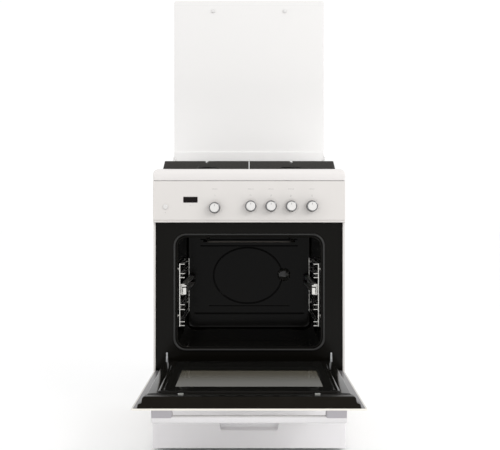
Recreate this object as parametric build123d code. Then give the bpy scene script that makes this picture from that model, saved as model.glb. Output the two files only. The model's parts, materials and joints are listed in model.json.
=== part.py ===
from build123d import *
import os

# Freestanding gas range: oven door open, glass lid raised, drawer shut.
# Everything is modelled with y = 0 on the face of the control panel, +y to the back, z = 0 on the floor.
# The last step moves it so that the origin is at the bottom centre of its box.

# ---- driving dimensions, millimetres ----
width = 600
depth = 600
worktop_top = 878
worktop_height = 37
panel_height = 130
sheet = 1.2
gap = 0.5
seam = 1.0

floor_clearance = 12
foot_radius = 18
foot_inset = 50
stud_radius = 5

side_front = 17
side_hem = 6
frame_rim = 2.5

door_axis_height = 261
door_thickness = 40
door_gap = 3
door_skirt = 15
door_glass = 5
inner_glass = 4
window_width = 390
window_near = 156
window_far = 357
handle_width = 495
handle_post = 53
handle_bar = 17
handle_reach = 33
handle_depth = 24

mouth_half = 225
mouth_low = 319
mouth_high = 662
mouth_radius = 27
cavity_margin = 4
cavity_back = 454
wool = 26

drawer_top = 234
drawer_projection = 20
drawer_front_thickness = 30
tray_length = 500
tray_height = 160
grip_half = 94
grip_low = 67
grip_high = 99
grip_depth = 18

knob_xs = [5, 68, 131, 195]
oven_knob_x = -107
knob_radius = 18
knob_length = 24
knob_travel = 4
spindle_radius = 4
running = 0.05

display_x = -183
display_width = 44
display_tall = 17.5
button_x = -261
button_radius = 8
button_travel = 3

burner_x = 134
burner_front = 170
burner_rear = 425
burner_radii = [38, 48, 38, 28]
well_depth = 6
support_width = 272
support_front = 46
support_back = 548
support_bar = 10

lid_width = 586
lid_glass_thickness = 5
lid_overhang = 34
lid_pin_radius = 4
lid_rail_height = 38

rung_radius = 2.2
upright_radius = 2.8
rack_half = 221
rack_front = 45
runner_low = 479
runner_height = 35

# ---- places worked out from them ----
half = width / 2
worktop_low = worktop_top - worktop_height
frame_face = door_thickness / 2 + 6
knob_height = worktop_top - 117
oven_knob_height = worktop_top - 122
display_height = worktop_top - 97
button_height = worktop_top - 119
support_top = worktop_top + 27
lid_pivot_y = depth - 14
lid_pivot_z = worktop_top + 72
panel_top = worktop_low - seam
panel_low = panel_top - panel_height
door_reach = panel_low - door_gap - door_axis_height
door_low = door_axis_height - door_thickness / 2
door_high = door_axis_height + door_thickness / 2
door_half = half - 2
frame_low = drawer_top + 4
rack_back = cavity_back - 39
cavity_half = mouth_half + cavity_margin
cavity_low = mouth_low - 8
cavity_high = mouth_high + 6
cavity_front = frame_face + sheet
well_top = worktop_top - well_depth
rear_face = depth - 14
tray_half = half - 32
tray_low = floor_clearance + 18
shift = (door_reach - depth) / 2

# ---- places shared by more than one group ----
base_height = 10
base_rail = 42
foot_places = [(x, y) for x in (-half + foot_inset, half - foot_inset)
               for y in (side_front + foot_inset, rear_face - foot_inset + 10)]
wall_hole_spacing = 400
wall_hole_height = worktop_top - 78
wall_hole_radius = 3
hinge_x = 252
hinge_length = 46
hinge_pin_radius = 4
inner_glass_half = 222
drawer_front_back = -drawer_projection + drawer_front_thickness
tray_opening_x = 145
tray_opening_front = 195
lamp_x = 130
lamp_z = 511
lamp_radius = 24
grill_x = 150
grill_z = cavity_high - 22
rack_low = 379
rack_high = 580
rung_heights = [381.6, 394, 433, 448, 484, 498, 534.5, 547, 577]
rack_stub_heights = [413.5, 562]
valve_front = 34
manifold_radius = 8
manifold_z = knob_height - 14 - manifold_radius - 6
inlet_x = half - 32
inlet_radius = 10.48
mains_x = -215
mains_z = 130
pipe_radius = 3
pipe_height = worktop_top - 78
burner_places = [(-burner_x, burner_front), (burner_x, burner_front), (-burner_x, burner_rear),
                 (burner_x, burner_rear)]
hole_radius = 24
well_half = 282
finger_tip = 12
finger_height = 9
finger_reach = 62
slit_half = 32
slit_low = support_top - 22
spark_offset = 3.6

nodes = {}


# ---- small makers ----
def block(x0, x1, y0, y1, z0, z1):
    middle = ((x0 + x1) / 2, (y0 + y1) / 2, (z0 + z1) / 2)
    return Pos(*middle) * Box(abs(x1 - x0), abs(y1 - y0), abs(z1 - z0))


def rod(start, end, radius):
    a = Vector(*start)
    b = Vector(*end)
    along = b - a
    plane = Plane(origin=a, z_dir=along)
    return extrude(plane * Circle(radius), amount=along.length)


def upright(sketch, y0, y1):
    # a sketch drawn in x and z, extruded from y0 back to y1
    return Pos(0, y1, 0) * extrude(Plane.XZ * sketch, amount=y1 - y0)


def across(points, x0, x1):
    # an outline drawn in y and z, extruded along x
    outline = make_face(Polyline(*points, close=True))
    return Pos(x0, 0, 0) * extrude(Plane.YZ * outline, amount=x1 - x0)


def flat(sketch, z0, z1):
    return Pos(0, 0, z0) * extrude(sketch, amount=z1 - z0)


def window(x_half, z0, z1, radius, x=0):
    return Pos(x, (z0 + z1) / 2) * RectangleRounded(2 * x_half, z1 - z0, radius)


def mirrored(shape):
    return mirror(shape, about=Plane.YZ)


def joined(shapes):
    whole = shapes[0]
    for shape in shapes[1:]:
        whole = whole + shape
    return whole


def group(shapes):
    return Compound([solid for shape in shapes for solid in shape.solids()])


def tube_path(points, radius, bend):
    line = FilletPolyline(*points, radius=bend)
    start = Plane(origin=line @ 0, z_dir=line % 0)
    return sweep(start * Circle(radius), path=line)


# ---- casing ----
def side_panel(side):
    # folded sheet: outer skin, front hem turned inwards and back, notch for the control panel
    inner = half - sheet
    skin = block(inner, half, side_front, depth, floor_clearance + 2, panel_top)
    hem = block(half - side_hem, half, side_front, side_front + sheet, floor_clearance + 2, panel_low)
    lip = block(half - side_hem, half - side_hem + sheet, side_front, frame_face - gap,
                floor_clearance + 2, panel_low)
    rear = block(half - 14, half, rear_face + sheet + gap, rear_face + 2 * sheet + gap,
                 floor_clearance + 2, panel_top)
    notch = block(inner - 1, half + 1, -1, frame_face, panel_low, panel_top + 1)
    shape = skin + hem + lip + rear - notch
    return shape if side > 0 else mirrored(shape)


def make_casing():
    nodes["side_panel_left"] = side_panel(-1)
    nodes["side_panel_right"] = side_panel(1)

    # rear panel: pressed sheet with vent slots, holes for the wall bracket, pipe and cable openings
    inside = half - sheet - gap
    rear = block(-inside, inside, rear_face, rear_face + sheet, floor_clearance + 12, panel_top)
    for row in range(3):
        for column in range(-5, 6):
            slot = Pos(column * 40, 700 + row * 26) * SlotOverall(28, 6)
            rear -= upright(slot, rear_face - 1, rear_face + 4)
    for x in (-wall_hole_spacing / 2, wall_hole_spacing / 2):
        z = wall_hole_height
        rear -= rod((x, rear_face - 1, z), (x, rear_face + 4, z), wall_hole_radius)
    rear -= rod((inlet_x, rear_face - 1, manifold_z), (inlet_x, rear_face + 4, manifold_z), inlet_radius + 3)
    rear -= upright(Pos(mains_x, mains_z) * Rectangle(30, 24), rear_face - 1, rear_face + 4)
    nodes["rear_panel"] = rear

    # base frame: four folded channels joined as a ring, with foot holes
    low = floor_clearance
    high = floor_clearance + base_height
    front = frame_face + gap
    outer = block(-inside, inside, front, rear_face - gap, low, high)
    inner = block(-inside + base_rail, inside - base_rail, front + base_rail,
                  rear_face - gap - base_rail, low - 1, high + 1)
    ring = outer - inner
    for x, y in foot_places:
        ring -= rod((x, y, low - 1), (x, y, high + 1), stud_radius + 0.4)
    nodes["base_frame"] = ring

    feet = []
    for x, y in foot_places:
        pad = Pos(x, y, 4) * Cylinder(foot_radius, 8)
        pad = fillet(pad.edges().filter_by(GeomType.CIRCLE), 1.5)
        stud = rod((x, y, 8), (x, y, high + 6), stud_radius)
        nut = flat(Pos(x, y) * RegularPolygon(9, 6), 8, low - gap)
        feet.append(pad + stud + nut)
    nodes["levelling_feet"] = group(feet)

    # front frame: black enamelled plate round the oven mouth, with a raised rim and hinge slots
    plate = upright(window(inside, frame_low, panel_low - gap, 1), frame_face, frame_face + sheet)
    rim = upright(window(mouth_half + 3, mouth_low - 3, mouth_high + 3, mouth_radius + 3),
                  frame_face - frame_rim, frame_face + sheet)
    frame = plate + rim
    frame -= upright(window(mouth_half, mouth_low, mouth_high, mouth_radius), 0, 60)
    for x in (-hinge_x, hinge_x):
        frame -= block(x - 7, x + 7, 0, 60, door_axis_height - 12, door_axis_height + 14)
    # made in bands, so that the plate's sill, header, stiles and corners are each a plain solid
    bands = [frame_low, mouth_low, mouth_low + mouth_radius, mouth_high - mouth_radius, mouth_high, panel_low]
    pieces = [frame & block(-half, half, 0, 60, low, high) for low, high in zip(bands, bands[1:])]
    nodes["front_frame"] = group(pieces)

    # heat shield: folded tray under the oven, above the drawer
    nodes["heat_shield"] = block(-inside + 4, inside - 4, frame_face + sheet + gap, rear_face - 20,
                                 frame_low, frame_low + sheet)

    # round-headed fixing screws on the rear panel edge
    screws = []
    for z in (80, 300, 520, 740):
        for x in (-half + 18, half - 18):
            head = Pos(x, rear_face + sheet + 1.2, z) * Rot(90, 0, 0) * Cylinder(3.6, 2.4)
            screws.append(fillet(head.edges().group_by(Axis.Y)[-1], 0.8))
    nodes["casing_screws"] = group(screws)


# ---- oven ----
def make_oven():
    # cavity: rounded enamelled box, open to the front, with pressed features on its back wall
    outer = upright(window(cavity_half + sheet, cavity_low - sheet, cavity_high + sheet, mouth_radius),
                    cavity_front, cavity_back + sheet)
    inner = upright(window(cavity_half, cavity_low, cavity_high, mouth_radius - sheet),
                    cavity_front - 1, cavity_back)
    cavity = outer - inner
    cavity -= block(-tray_opening_x, tray_opening_x, tray_opening_front, cavity_back - 20,
                    cavity_low - 5, cavity_low + 5)
    back = cavity_back
    press = 3
    fan_ring = Pos(-5, 508) * (Ellipse(129.5, 106) - Ellipse(124.5, 101))
    cavity += upright(fan_ring, back - press, back)
    cavity += block(-181, 181, back - press, back, 616, 620)
    cavity += block(-181, 181, back - press, back, 640, 644)
    cavity += block(-204, 204, back - 6, back, 364, 370)
    cavity -= rod((lamp_x, back - 10, lamp_z), (lamp_x, back, lamp_z), lamp_radius + gap)
    cavity -= rod((lamp_x, back - 10, lamp_z), (lamp_x, back + 4, lamp_z), lamp_radius - 4)
    for rib in (120, 240, 360):
        for side in (-1, 1):
            x0 = side * (cavity_half - 1.5)
            x1 = side * cavity_half
            cavity += block(min(x0, x1), max(x0, x1), rib, rib + 8, 380, 590)
    nodes["oven_cavity"] = cavity

    # mineral-wool jacket round the cavity, open at the front
    clear = sheet + gap
    jacket = upright(window(cavity_half + clear + wool, cavity_low - clear - wool * 0.8,
                            cavity_high + clear + wool, mouth_radius + 8),
                     cavity_front + 8, cavity_back + clear + wool)
    hollow = upright(window(cavity_half + clear, cavity_low - clear, cavity_high + clear, mouth_radius + 1),
                     0, cavity_back + clear)
    jacket = jacket - hollow
    jacket -= block(-tray_opening_x - 12, tray_opening_x + 12, tray_opening_front - 12, cavity_back - 8, 200,
                    cavity_low)
    jacket -= rod((lamp_x, 400, lamp_z), (lamp_x, 600, lamp_z), lamp_radius + 4)
    for x in (-grill_x, grill_x):
        jacket -= rod((x, 400, grill_z), (x, 600, grill_z), 7)
    nodes["oven_jacket"] = jacket

    # floor plate over the burner, with slots for the flames' heat
    plate = block(-158, 158, tray_opening_front - 4, cavity_back - 8, cavity_low + gap, cavity_low + gap + 2)
    for y in (tray_opening_front + 14, cavity_back - 34):
        for column in range(-3, 4):
            plate -= flat(Pos(column * 42, y) * SlotOverall(30, 6), cavity_low - 2, cavity_low + 8)
    nodes["oven_floor_plate"] = plate

    # burner tray hung under the floor opening
    low = frame_low + 12
    box = block(-tray_opening_x - 8, tray_opening_x + 8, tray_opening_front - 8, cavity_back - 12, low,
                cavity_low - sheet - gap)
    box -= block(-tray_opening_x - 8 + sheet, tray_opening_x + 8 - sheet, tray_opening_front - 8 + sheet,
                 cavity_back - 12 - sheet, low + sheet, cavity_low + 1)
    box -= rod((0, tray_opening_front - 20, low + 26), (0, tray_opening_front + 10, low + 26), 9)
    nodes["burner_tray"] = box

    # oven burner: a flat ring of tube fed from the front
    ring_z = low + 26
    middle = (tray_opening_front + cavity_back - 20) / 2
    ring = Pos(0, middle, ring_z) * Torus(70, 7)
    feed = rod((0, tray_opening_front - 60, ring_z), (0, middle - 66, ring_z), 7)
    nodes["oven_burner"] = ring + feed

    # electric grill element: one bent tube near the ceiling, its ends through the back wall
    span = grill_x
    points = [(-span, cavity_back - 4, grill_z), (-span, 120, grill_z), (span, 120, grill_z),
              (span, cavity_back - 4, grill_z)]
    nodes["grill_element"] = tube_path(points, 3.2, 30)

    # lamp holder behind the wall, glass dome inside
    holder = rod((lamp_x, cavity_back + sheet + gap, lamp_z), (lamp_x, cavity_back + 26, lamp_z), lamp_radius)
    holder -= rod((lamp_x, cavity_back, lamp_z), (lamp_x, cavity_back + 20, lamp_z), lamp_radius - 5)
    nodes["lamp_holder"] = holder
    dome = rod((lamp_x, cavity_back - gap - 10, lamp_z), (lamp_x, cavity_back - gap, lamp_z), lamp_radius)
    dome = fillet(dome.edges().group_by(Axis.Y)[0], 6)
    dome -= rod((lamp_x, cavity_back - 8, lamp_z), (lamp_x, cavity_back, lamp_z), lamp_radius - 3)
    nodes["lamp_glass"] = dome

    # wire ladders on the side walls
    for name, side in (("left", -1), ("right", 1)):
        x = side * rack_half
        wires = []
        for y in (rack_front, rack_back):
            wires.append(rod((x, y, rack_low), (x, y, rack_high), upright_radius))
        for z in rung_heights:
            wires.append(rod((x, rack_front, z), (x, rack_back, z), rung_radius))
        for z in rack_stub_heights:
            wires.append(rod((x, rack_back, z), (side * (cavity_half - gap), rack_back, z), rung_radius))
            wires.append(rod((x, rack_front, z), (side * (cavity_half - gap), rack_front, z), rung_radius))
        nodes["shelf_rack_" + name] = joined(wires)

    # door seal: a soft ring on the front frame
    seal = window(mouth_half + 14, mouth_low - 14, mouth_high + 14, mouth_radius + 14)
    seal -= window(mouth_half + 6, mouth_low - 6, mouth_high + 6, mouth_radius + 6)
    ring = upright(seal, door_thickness / 2 + 0.6, frame_face)
    nodes["door_seal"] = fillet(ring.edges().group_by(Axis.Y)[0], 2)


def make_runners():
    # telescopic runners: a fixed channel clipped to the ladder and a bar that slides inside it
    outer_face = rack_half - upright_radius - gap
    inner_face = outer_face - 12
    rails = []
    for name, side in (("left", -1), ("right", 1)):
        rail = block(inner_face, outer_face, rack_front + 2, rack_back - 6, runner_low,
                     runner_low + runner_height)
        rail -= block(inner_face - 1, outer_face - 2, 0, 600, runner_low + 3, runner_low + runner_height - 3)
        rails.append(rail if side > 0 else mirrored(rail))
        bar = block(inner_face - 6, outer_face - 2.6, rack_front - 2, rack_back - 12, runner_low + 3.6,
                    runner_low + runner_height - 3.6)
        bar -= block(inner_face - 7, outer_face - 5, rack_front + 14, rack_back - 20, runner_low + 8,
                     runner_low + runner_height - 8)
        stop = block(inner_face - 6, outer_face - 3, rack_front - 5, rack_front - 2, runner_low + 3.6,
                     runner_low + runner_height + 6)
        bar = bar + stop
        nodes["runner_slide_" + name] = bar if side > 0 else mirrored(bar)
    nodes["runner_rails"] = group(rails)


# ---- door ----
def make_door():
    far = -door_reach
    inner_low = door_low + door_glass
    inner_high = door_high

    # outer glass: full width, its skirt hanging past the hinge line
    outer = block(-door_half, door_half, far, door_skirt, door_low, inner_low)
    nodes["door_outer_glass"] = fillet(outer.edges().filter_by(Axis.Z), 4)

    # inner frame: a black pressed tray, wider at the hinge side, with the window through it
    near_half = 266
    far_half = 250
    trim_depth = 26
    outline = make_face(Polyline((-near_half, 0), (near_half, 0), (far_half, far + trim_depth + gap),
                                 (-far_half, far + trim_depth + gap), close=True))
    frame = flat(outline, inner_low, inner_high - inner_glass)
    frame = fillet(frame.edges().filter_by(Axis.Z).group_by(Axis.Y)[0], 8)
    wall = 1.5
    hollow = make_face(Polyline((-near_half + wall, -wall), (near_half - wall, -wall),
                                (far_half - wall, far + trim_depth + gap + wall),
                                (-far_half + wall, far + trim_depth + gap + wall), close=True))
    hollow = flat(hollow, inner_low - 1, inner_high - inner_glass - wall)
    for x in (-hinge_x, hinge_x):
        hollow -= block(x - 14 - wall, x + 14 + wall, -hinge_length - wall, 1, inner_low - 2, inner_high)
    frame -= hollow
    lip = block(-inner_glass_half - 12, inner_glass_half + 12, far + trim_depth + 14, -12,
                inner_high - inner_glass, inner_high)
    frame += lip
    frame -= block(-inner_glass_half - gap, inner_glass_half + gap, far + trim_depth + 24 - gap, -22 + gap,
                   inner_high - inner_glass, inner_high + 1)
    frame -= block(-window_width / 2, window_width / 2, -window_far, -window_near, inner_low - 1,
                   inner_high + 1)
    for x in (-hinge_x, hinge_x):
        frame -= block(x - 14, x + 14, -hinge_length, 1, inner_low - 1, inner_high + 1)
    nodes["door_frame"] = frame

    glass = block(-inner_glass_half, inner_glass_half, far + trim_depth + 24, -22,
                  inner_high - inner_glass + 0.2, inner_high)
    nodes["door_inner_glass"] = fillet(glass.edges().filter_by(Axis.Z), 6)

    # top trim: dark profile closing the door's upper edge, wider at the outer side
    outline = make_face(Polyline((-283, inner_low), (283, inner_low), (271, inner_high), (-271, inner_high),
                                 close=True))
    trim = upright(outline, far, far + trim_depth)
    trim = fillet(trim.edges().filter_by(Axis.Y, tolerance=25).group_by(Axis.Z)[-1], 5)
    for column in range(-4, 5):
        slot = block(column * 46 - 16, column * 46 + 16, far + 8, far + 14, inner_high - 6, inner_high + 1)
        trim -= slot
    nodes["door_top_trim"] = trim

    # handle: a straight bar on two wide posts, standing off the outer glass
    reach_low = door_low - handle_reach
    bar_half = handle_width / 2
    bar = block(-bar_half, bar_half, far, far + handle_depth, reach_low, door_low)
    bar = fillet(bar.edges().filter_by(Axis.X).group_by(Axis.Z)[0], 7)
    bar = fillet(bar.edges().filter_by(Axis.Y, tolerance=5).group_by(Axis.Z)[0], 4)
    finger = block(-bar_half + handle_post, bar_half - handle_post, far - 1, far + handle_depth + 1,
                   reach_low + handle_bar, door_low + 1)
    nodes["door_handle"] = bar - finger

    # hinges: on each side a clevis in the door, turning on the receiver's pin
    clevises = []
    receivers = []
    z = door_axis_height
    for x in (-hinge_x, hinge_x):
        cheeks = block(x - 12, x + 12, -hinge_length + gap, 8, z - 9, z + 9)
        cheeks = fillet(cheeks.edges().filter_by(Axis.X).group_by(Axis.Y)[-1], 7)
        cheeks -= block(x - 3.5, x + 3.5, -24, 20, z - 30, z + 30)
        cheeks -= rod((x - 20, 0, z), (x + 20, 0, z), hinge_pin_radius + running)
        clevises.append(cheeks)
        arm = block(x - 2.5, x + 2.5, -8, 78, z - 8, z + 8)
        arm = fillet(arm.edges().filter_by(Axis.X).group_by(Axis.Y)[0], 6)
        arm += rod((x - 11, 0, z), (x + 11, 0, z), hinge_pin_radius)
        arm += block(x - 9, x + 9, frame_face + sheet + gap, 80, z - 16, z - 8)
        receivers.append(arm)
    nodes["door_hinges"] = group(clevises)
    nodes["hinge_receivers"] = group(receivers)


# ---- drawer ----
def make_drawer():
    front_half = half - 1
    front = block(-front_half, front_half, -drawer_projection, drawer_front_back, floor_clearance, drawer_top)
    front = fillet(front.edges().group_by(Axis.Y)[0], 2)
    face = -drawer_projection
    grip_back = face + grip_depth
    front -= block(-front_half + sheet, front_half - sheet, face + sheet, drawer_front_back - sheet,
                   floor_clearance + sheet, drawer_top - sheet)
    front += block(-grip_half - 2, grip_half + 2, face + sheet, grip_back + 2, grip_low - 2, grip_high + 14)
    front -= block(-grip_half, grip_half, face - 1, grip_back, grip_low, grip_high)
    front -= block(-grip_half, grip_half, grip_back - 8, grip_back, grip_high - 1, grip_high + 12)
    nodes["drawer_front"] = front

    back = drawer_front_back + tray_length
    tray = block(-tray_half, tray_half, drawer_front_back, back, tray_low, tray_low + tray_height)
    tray = fillet(tray.edges().filter_by(Axis.Z).group_by(Axis.Y)[-1], 6)
    tray -= block(-tray_half + sheet, tray_half - sheet, drawer_front_back + sheet, back - sheet,
                  tray_low + sheet, tray_low + tray_height + 1)
    nodes["drawer_tray"] = tray

    # guides: an L-section each side, the tray's bottom edge sliding on it
    guides = []
    top = floor_clearance + base_height
    for side in (-1, 1):
        seat = block(tray_half - 10, tray_half + 12, side_front + 30, rear_face - 12, top, tray_low - gap)
        wall = block(tray_half + gap, tray_half + 12, side_front + 30, rear_face - 12, top, tray_low + 24)
        guide = seat + wall
        guides.append(guide if side > 0 else mirrored(guide))
    nodes["drawer_guides"] = group(guides)


# ---- controls ----
def knob_places():
    places = [("oven", oven_knob_x, oven_knob_height)]
    names = ["front_left", "rear_left", "rear_right", "front_right"]
    for name, x in zip(names, knob_xs):
        places.append((name, x, knob_height))
    return places


def make_controls():
    # control panel: a folded pan with rounded front edges
    back = frame_face - gap
    pan = block(-half, half, 0, back, panel_low, panel_top)
    pan = fillet(pan.edges().group_by(Axis.Y)[0], 3)
    wall = 1.5
    pan -= block(-half + wall, half - wall, wall, back + 1, panel_low + wall, panel_top - wall)
    for name, x, z in knob_places():
        pan -= rod((x, -1, z), (x, 10, z), spindle_radius + 2)
    pan -= rod((button_x, -1, button_height), (button_x, 10, button_height), button_radius + gap)
    pan -= block(display_x - display_width / 2, display_x + display_width / 2, -1, 10,
                 display_height - display_tall / 2, display_height + display_tall / 2)
    nodes["control_panel"] = pan

    clear = 0.3
    wide = display_width / 2 - clear
    tall = display_tall / 2 - clear
    nodes["display_window"] = block(display_x - wide, display_x + wide, -0.4, wall, display_height - tall,
                                    display_height + tall)
    timer = block(display_x - 36, display_x + 36, wall + gap, back - 2, display_height - 20,
                  display_height + 20)

    button = rod((button_x, -3, button_height), (button_x, 8, button_height), button_radius)
    button = fillet(button.edges().group_by(Axis.Y)[0], 1.5)
    button += rod((button_x, wall + gap, button_height), (button_x, wall + gap + 2, button_height),
                  button_radius + 3)
    nodes["ignition_button"] = button
    travel_end = 8 + button_travel + gap
    spark = block(button_x - 22, button_x + 22, travel_end, travel_end + 40, button_height - 18,
                  button_height + 18)
    nodes["control_modules"] = group([timer, spark])

    # knobs with their spindles, and the valves that carry them
    valves = []
    back_face = -2 - knob_travel
    for name, x, z in knob_places():
        knob = rod((x, back_face - knob_length, z), (x, back_face, z), knob_radius)
        knob = fillet(knob.edges().group_by(Axis.Y)[0], 3)
        tip = back_face - 15
        knob -= rod((x, tip - knob_travel - 1, z), (x, 0, z), spindle_radius + running)
        pointer = block(x - 1.2, x + 1.2, back_face - knob_length + 0.4, back_face - knob_length + 1.4,
                        z + knob_radius - 10, z + knob_radius - 3)
        nodes["knob_" + name] = knob - pointer
        nodes["spindle_" + name] = rod((x, tip, z), (x, valve_front + 14, z), spindle_radius)
        body = block(x - 12, x + 12, valve_front, valve_front + 30, z - 14, z + 14)
        body = fillet(body.edges().filter_by(Axis.Y), 3)
        body += rod((x, valve_front - 6, z), (x, valve_front, z), 8)
        body -= rod((x, valve_front - 7, z), (x, valve_front + 16, z), spindle_radius + running)
        valves.append(body)
    nodes["gas_valves"] = group(valves)

    # manifold under the valves, turning back along the right side to the rear inlet
    y = valve_front + 14
    points = [(oven_knob_x - 20, y, manifold_z), (inlet_x, y, manifold_z),
              (inlet_x, rear_face - 4, manifold_z)]
    manifold = tube_path(points, manifold_radius, 24)
    manifold += rod((inlet_x, rear_face - 12, manifold_z), (inlet_x, depth - 1, manifold_z), inlet_radius)
    manifold -= rod((inlet_x, rear_face - 10, manifold_z), (inlet_x, depth + 1, manifold_z), 6)

    # thin feed pipes from the valves to the burner cups
    pipes = [manifold]
    top = pipe_height
    for (x, y), knob_x in zip(burner_places, knob_xs):
        tail = knob_height + 6
        points = [(knob_x, valve_front + 30 + gap, tail), (knob_x, valve_front + 44, tail),
                  (knob_x, valve_front + 44, top), (x + 22, y - 10, top)]
        if abs(x + 22 - knob_x) < 1:
            points[-1] = (x + 24, y - 10, top)
        pipes.append(tube_path(points, pipe_radius, 6))
        top += 2 * pipe_radius + 1
    nodes["gas_pipes"] = group(pipes)

    box = block(mains_x - 45, mains_x + 45, rear_face - 40, rear_face - gap, mains_z - 30, mains_z + 30)
    box -= block(mains_x - 12, mains_x + 12, rear_face - 20, rear_face, mains_z - 9, mains_z + 9)
    nodes["mains_terminal_box"] = box


# ---- hob ----
def make_hob():
    # worktop: enamelled pressing with rounded shoulders and a shallow well
    top = block(-half, half, 0, depth - 2, worktop_low, worktop_top)
    top = fillet(top.edges().group_by(Axis.Z)[-1], 18)
    top -= block(-half + 2, half - 2, 2, depth - 4, worktop_low - 1, worktop_top - 20)
    top -= block(-half + 22, half - 22, 22, depth - 24, worktop_low - 1, well_top - 2)
    well = flat(Pos(0, (support_front + support_back) / 2) *
                RectangleRounded(2 * well_half, support_back - support_front + 24, 30), well_top,
                worktop_top + 1)
    top -= well
    for x, y in burner_places:
        top -= rod((x, y, worktop_low), (x, y, worktop_top + 1), hole_radius)
    nodes["worktop"] = top

    cups = []
    crowns = []
    caps = []
    electrodes = []
    for (x, y), r in zip(burner_places, burner_radii):
        low = well_top - 16
        cup = rod((x, y, low), (x, y, well_top), hole_radius - 1)
        cup += rod((x, y, well_top), (x, y, well_top + 4), r + 7)
        cup -= rod((x, y, low + 3), (x, y, well_top + 5), hole_radius - 5)
        spark_x = x + r + spark_offset
        cup -= rod((spark_x, y, well_top - 2), (spark_x, y, well_top + 6), 2.1)
        cups.append(cup)
        crown = rod((x, y, well_top + 4), (x, y, well_top + 15), r)
        crown -= rod((x, y, well_top + 3), (x, y, well_top + 12), r - 6)
        teeth = max(16, int(r * 0.6))
        for k in range(teeth):
            turn = Pos(x, y, well_top + 9) * Rot(0, 0, k * 360 / teeth)
            crown -= turn * Pos(r - 2, 0, 0) * Box(10, 1.6, 5)
        crowns.append(crown)
        cap = rod((x, y, well_top + 15), (x, y, well_top + 20), r + 2)
        caps.append(fillet(cap.edges().group_by(Axis.Z)[-1], 3))
        electrodes.append(rod((spark_x, y, well_top), (spark_x, y, well_top + 12), 1.8))
    nodes["burner_cups"] = group(cups)
    nodes["burner_crowns"] = group(crowns)
    nodes["burner_caps"] = group(caps)
    nodes["ignition_electrodes"] = group(electrodes)

    # cast pan supports: a frame on short feet, four fingers over each burner, bevelled outer ends
    low = well_top + 4
    bar = support_bar
    finger_low = support_top - finger_height
    shapes = []
    x0 = 2
    x1 = 2 + support_width
    y0 = support_front
    y1 = support_back
    middle = (y0 + y1) / 2
    for y in (y0, middle - bar / 2, y1 - bar):
        crossbar = block(x0, x1, y, y + bar, low, support_top)
        crossbar -= block(burner_x - slit_half, burner_x + slit_half, y - 1, y + bar + 1, slit_low,
                          slit_low + 3)
        crossbar -= block(burner_x - 6, burner_x + 6, y - 1, y + bar + 1, finger_low - 4, support_top + 1)
        shapes.append(crossbar)
    shapes.append(block(x0, x0 + bar, y0, y1, low, support_top))
    shapes.append(block(x1 - bar, x1, y0, y1, low, support_top))
    for y in (burner_front, burner_rear):
        near = y0 if y == burner_front else middle
        far = middle if y == burner_front else y1
        tip = finger_tip
        shapes.append(block(x0, burner_x - tip, y - 4, y + 4, finger_low, support_top))
        shapes.append(block(burner_x + tip, x1, y - 4, y + 4, finger_low, support_top))
        rise = finger_height + 4
        for start, end, way in ((near, y - tip, 1), (far, y + tip, -1)):
            finger = block(burner_x - 4, burner_x + 4, min(start, end), max(start, end), finger_low - 4,
                           support_top)
            slope = [(start, finger_low + 1), (start + way * (bar + 2 * rise), support_top + 1),
                     (start, support_top + 1)]
            under = [(end, finger_low), (end - way * (finger_reach - tip), finger_low),
                     (end - way * (finger_reach - tip + 6), finger_low - 5), (end, finger_low - 5)]
            finger -= across(slope, 0, half)
            finger -= across(under, 0, half)
            shapes.append(finger)
    for x in (x0 + 8, x1 - 8):
        for y in (y0 + 6, middle, y1 - 6):
            shapes.append(block(x - 5, x + 5, y - 5, y + 5, well_top, low + 2))
    support = joined(shapes)
    lean = (support_top - low) * 0.25
    outside = x1 + 1
    end = make_face(Polyline((outside, low), (outside, support_top + 1), (x1 - lean, support_top + 1),
                             close=True))
    support -= upright(end, 0, depth)
    nodes["pan_support_right"] = support
    nodes["pan_support_left"] = mirrored(support)


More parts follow.
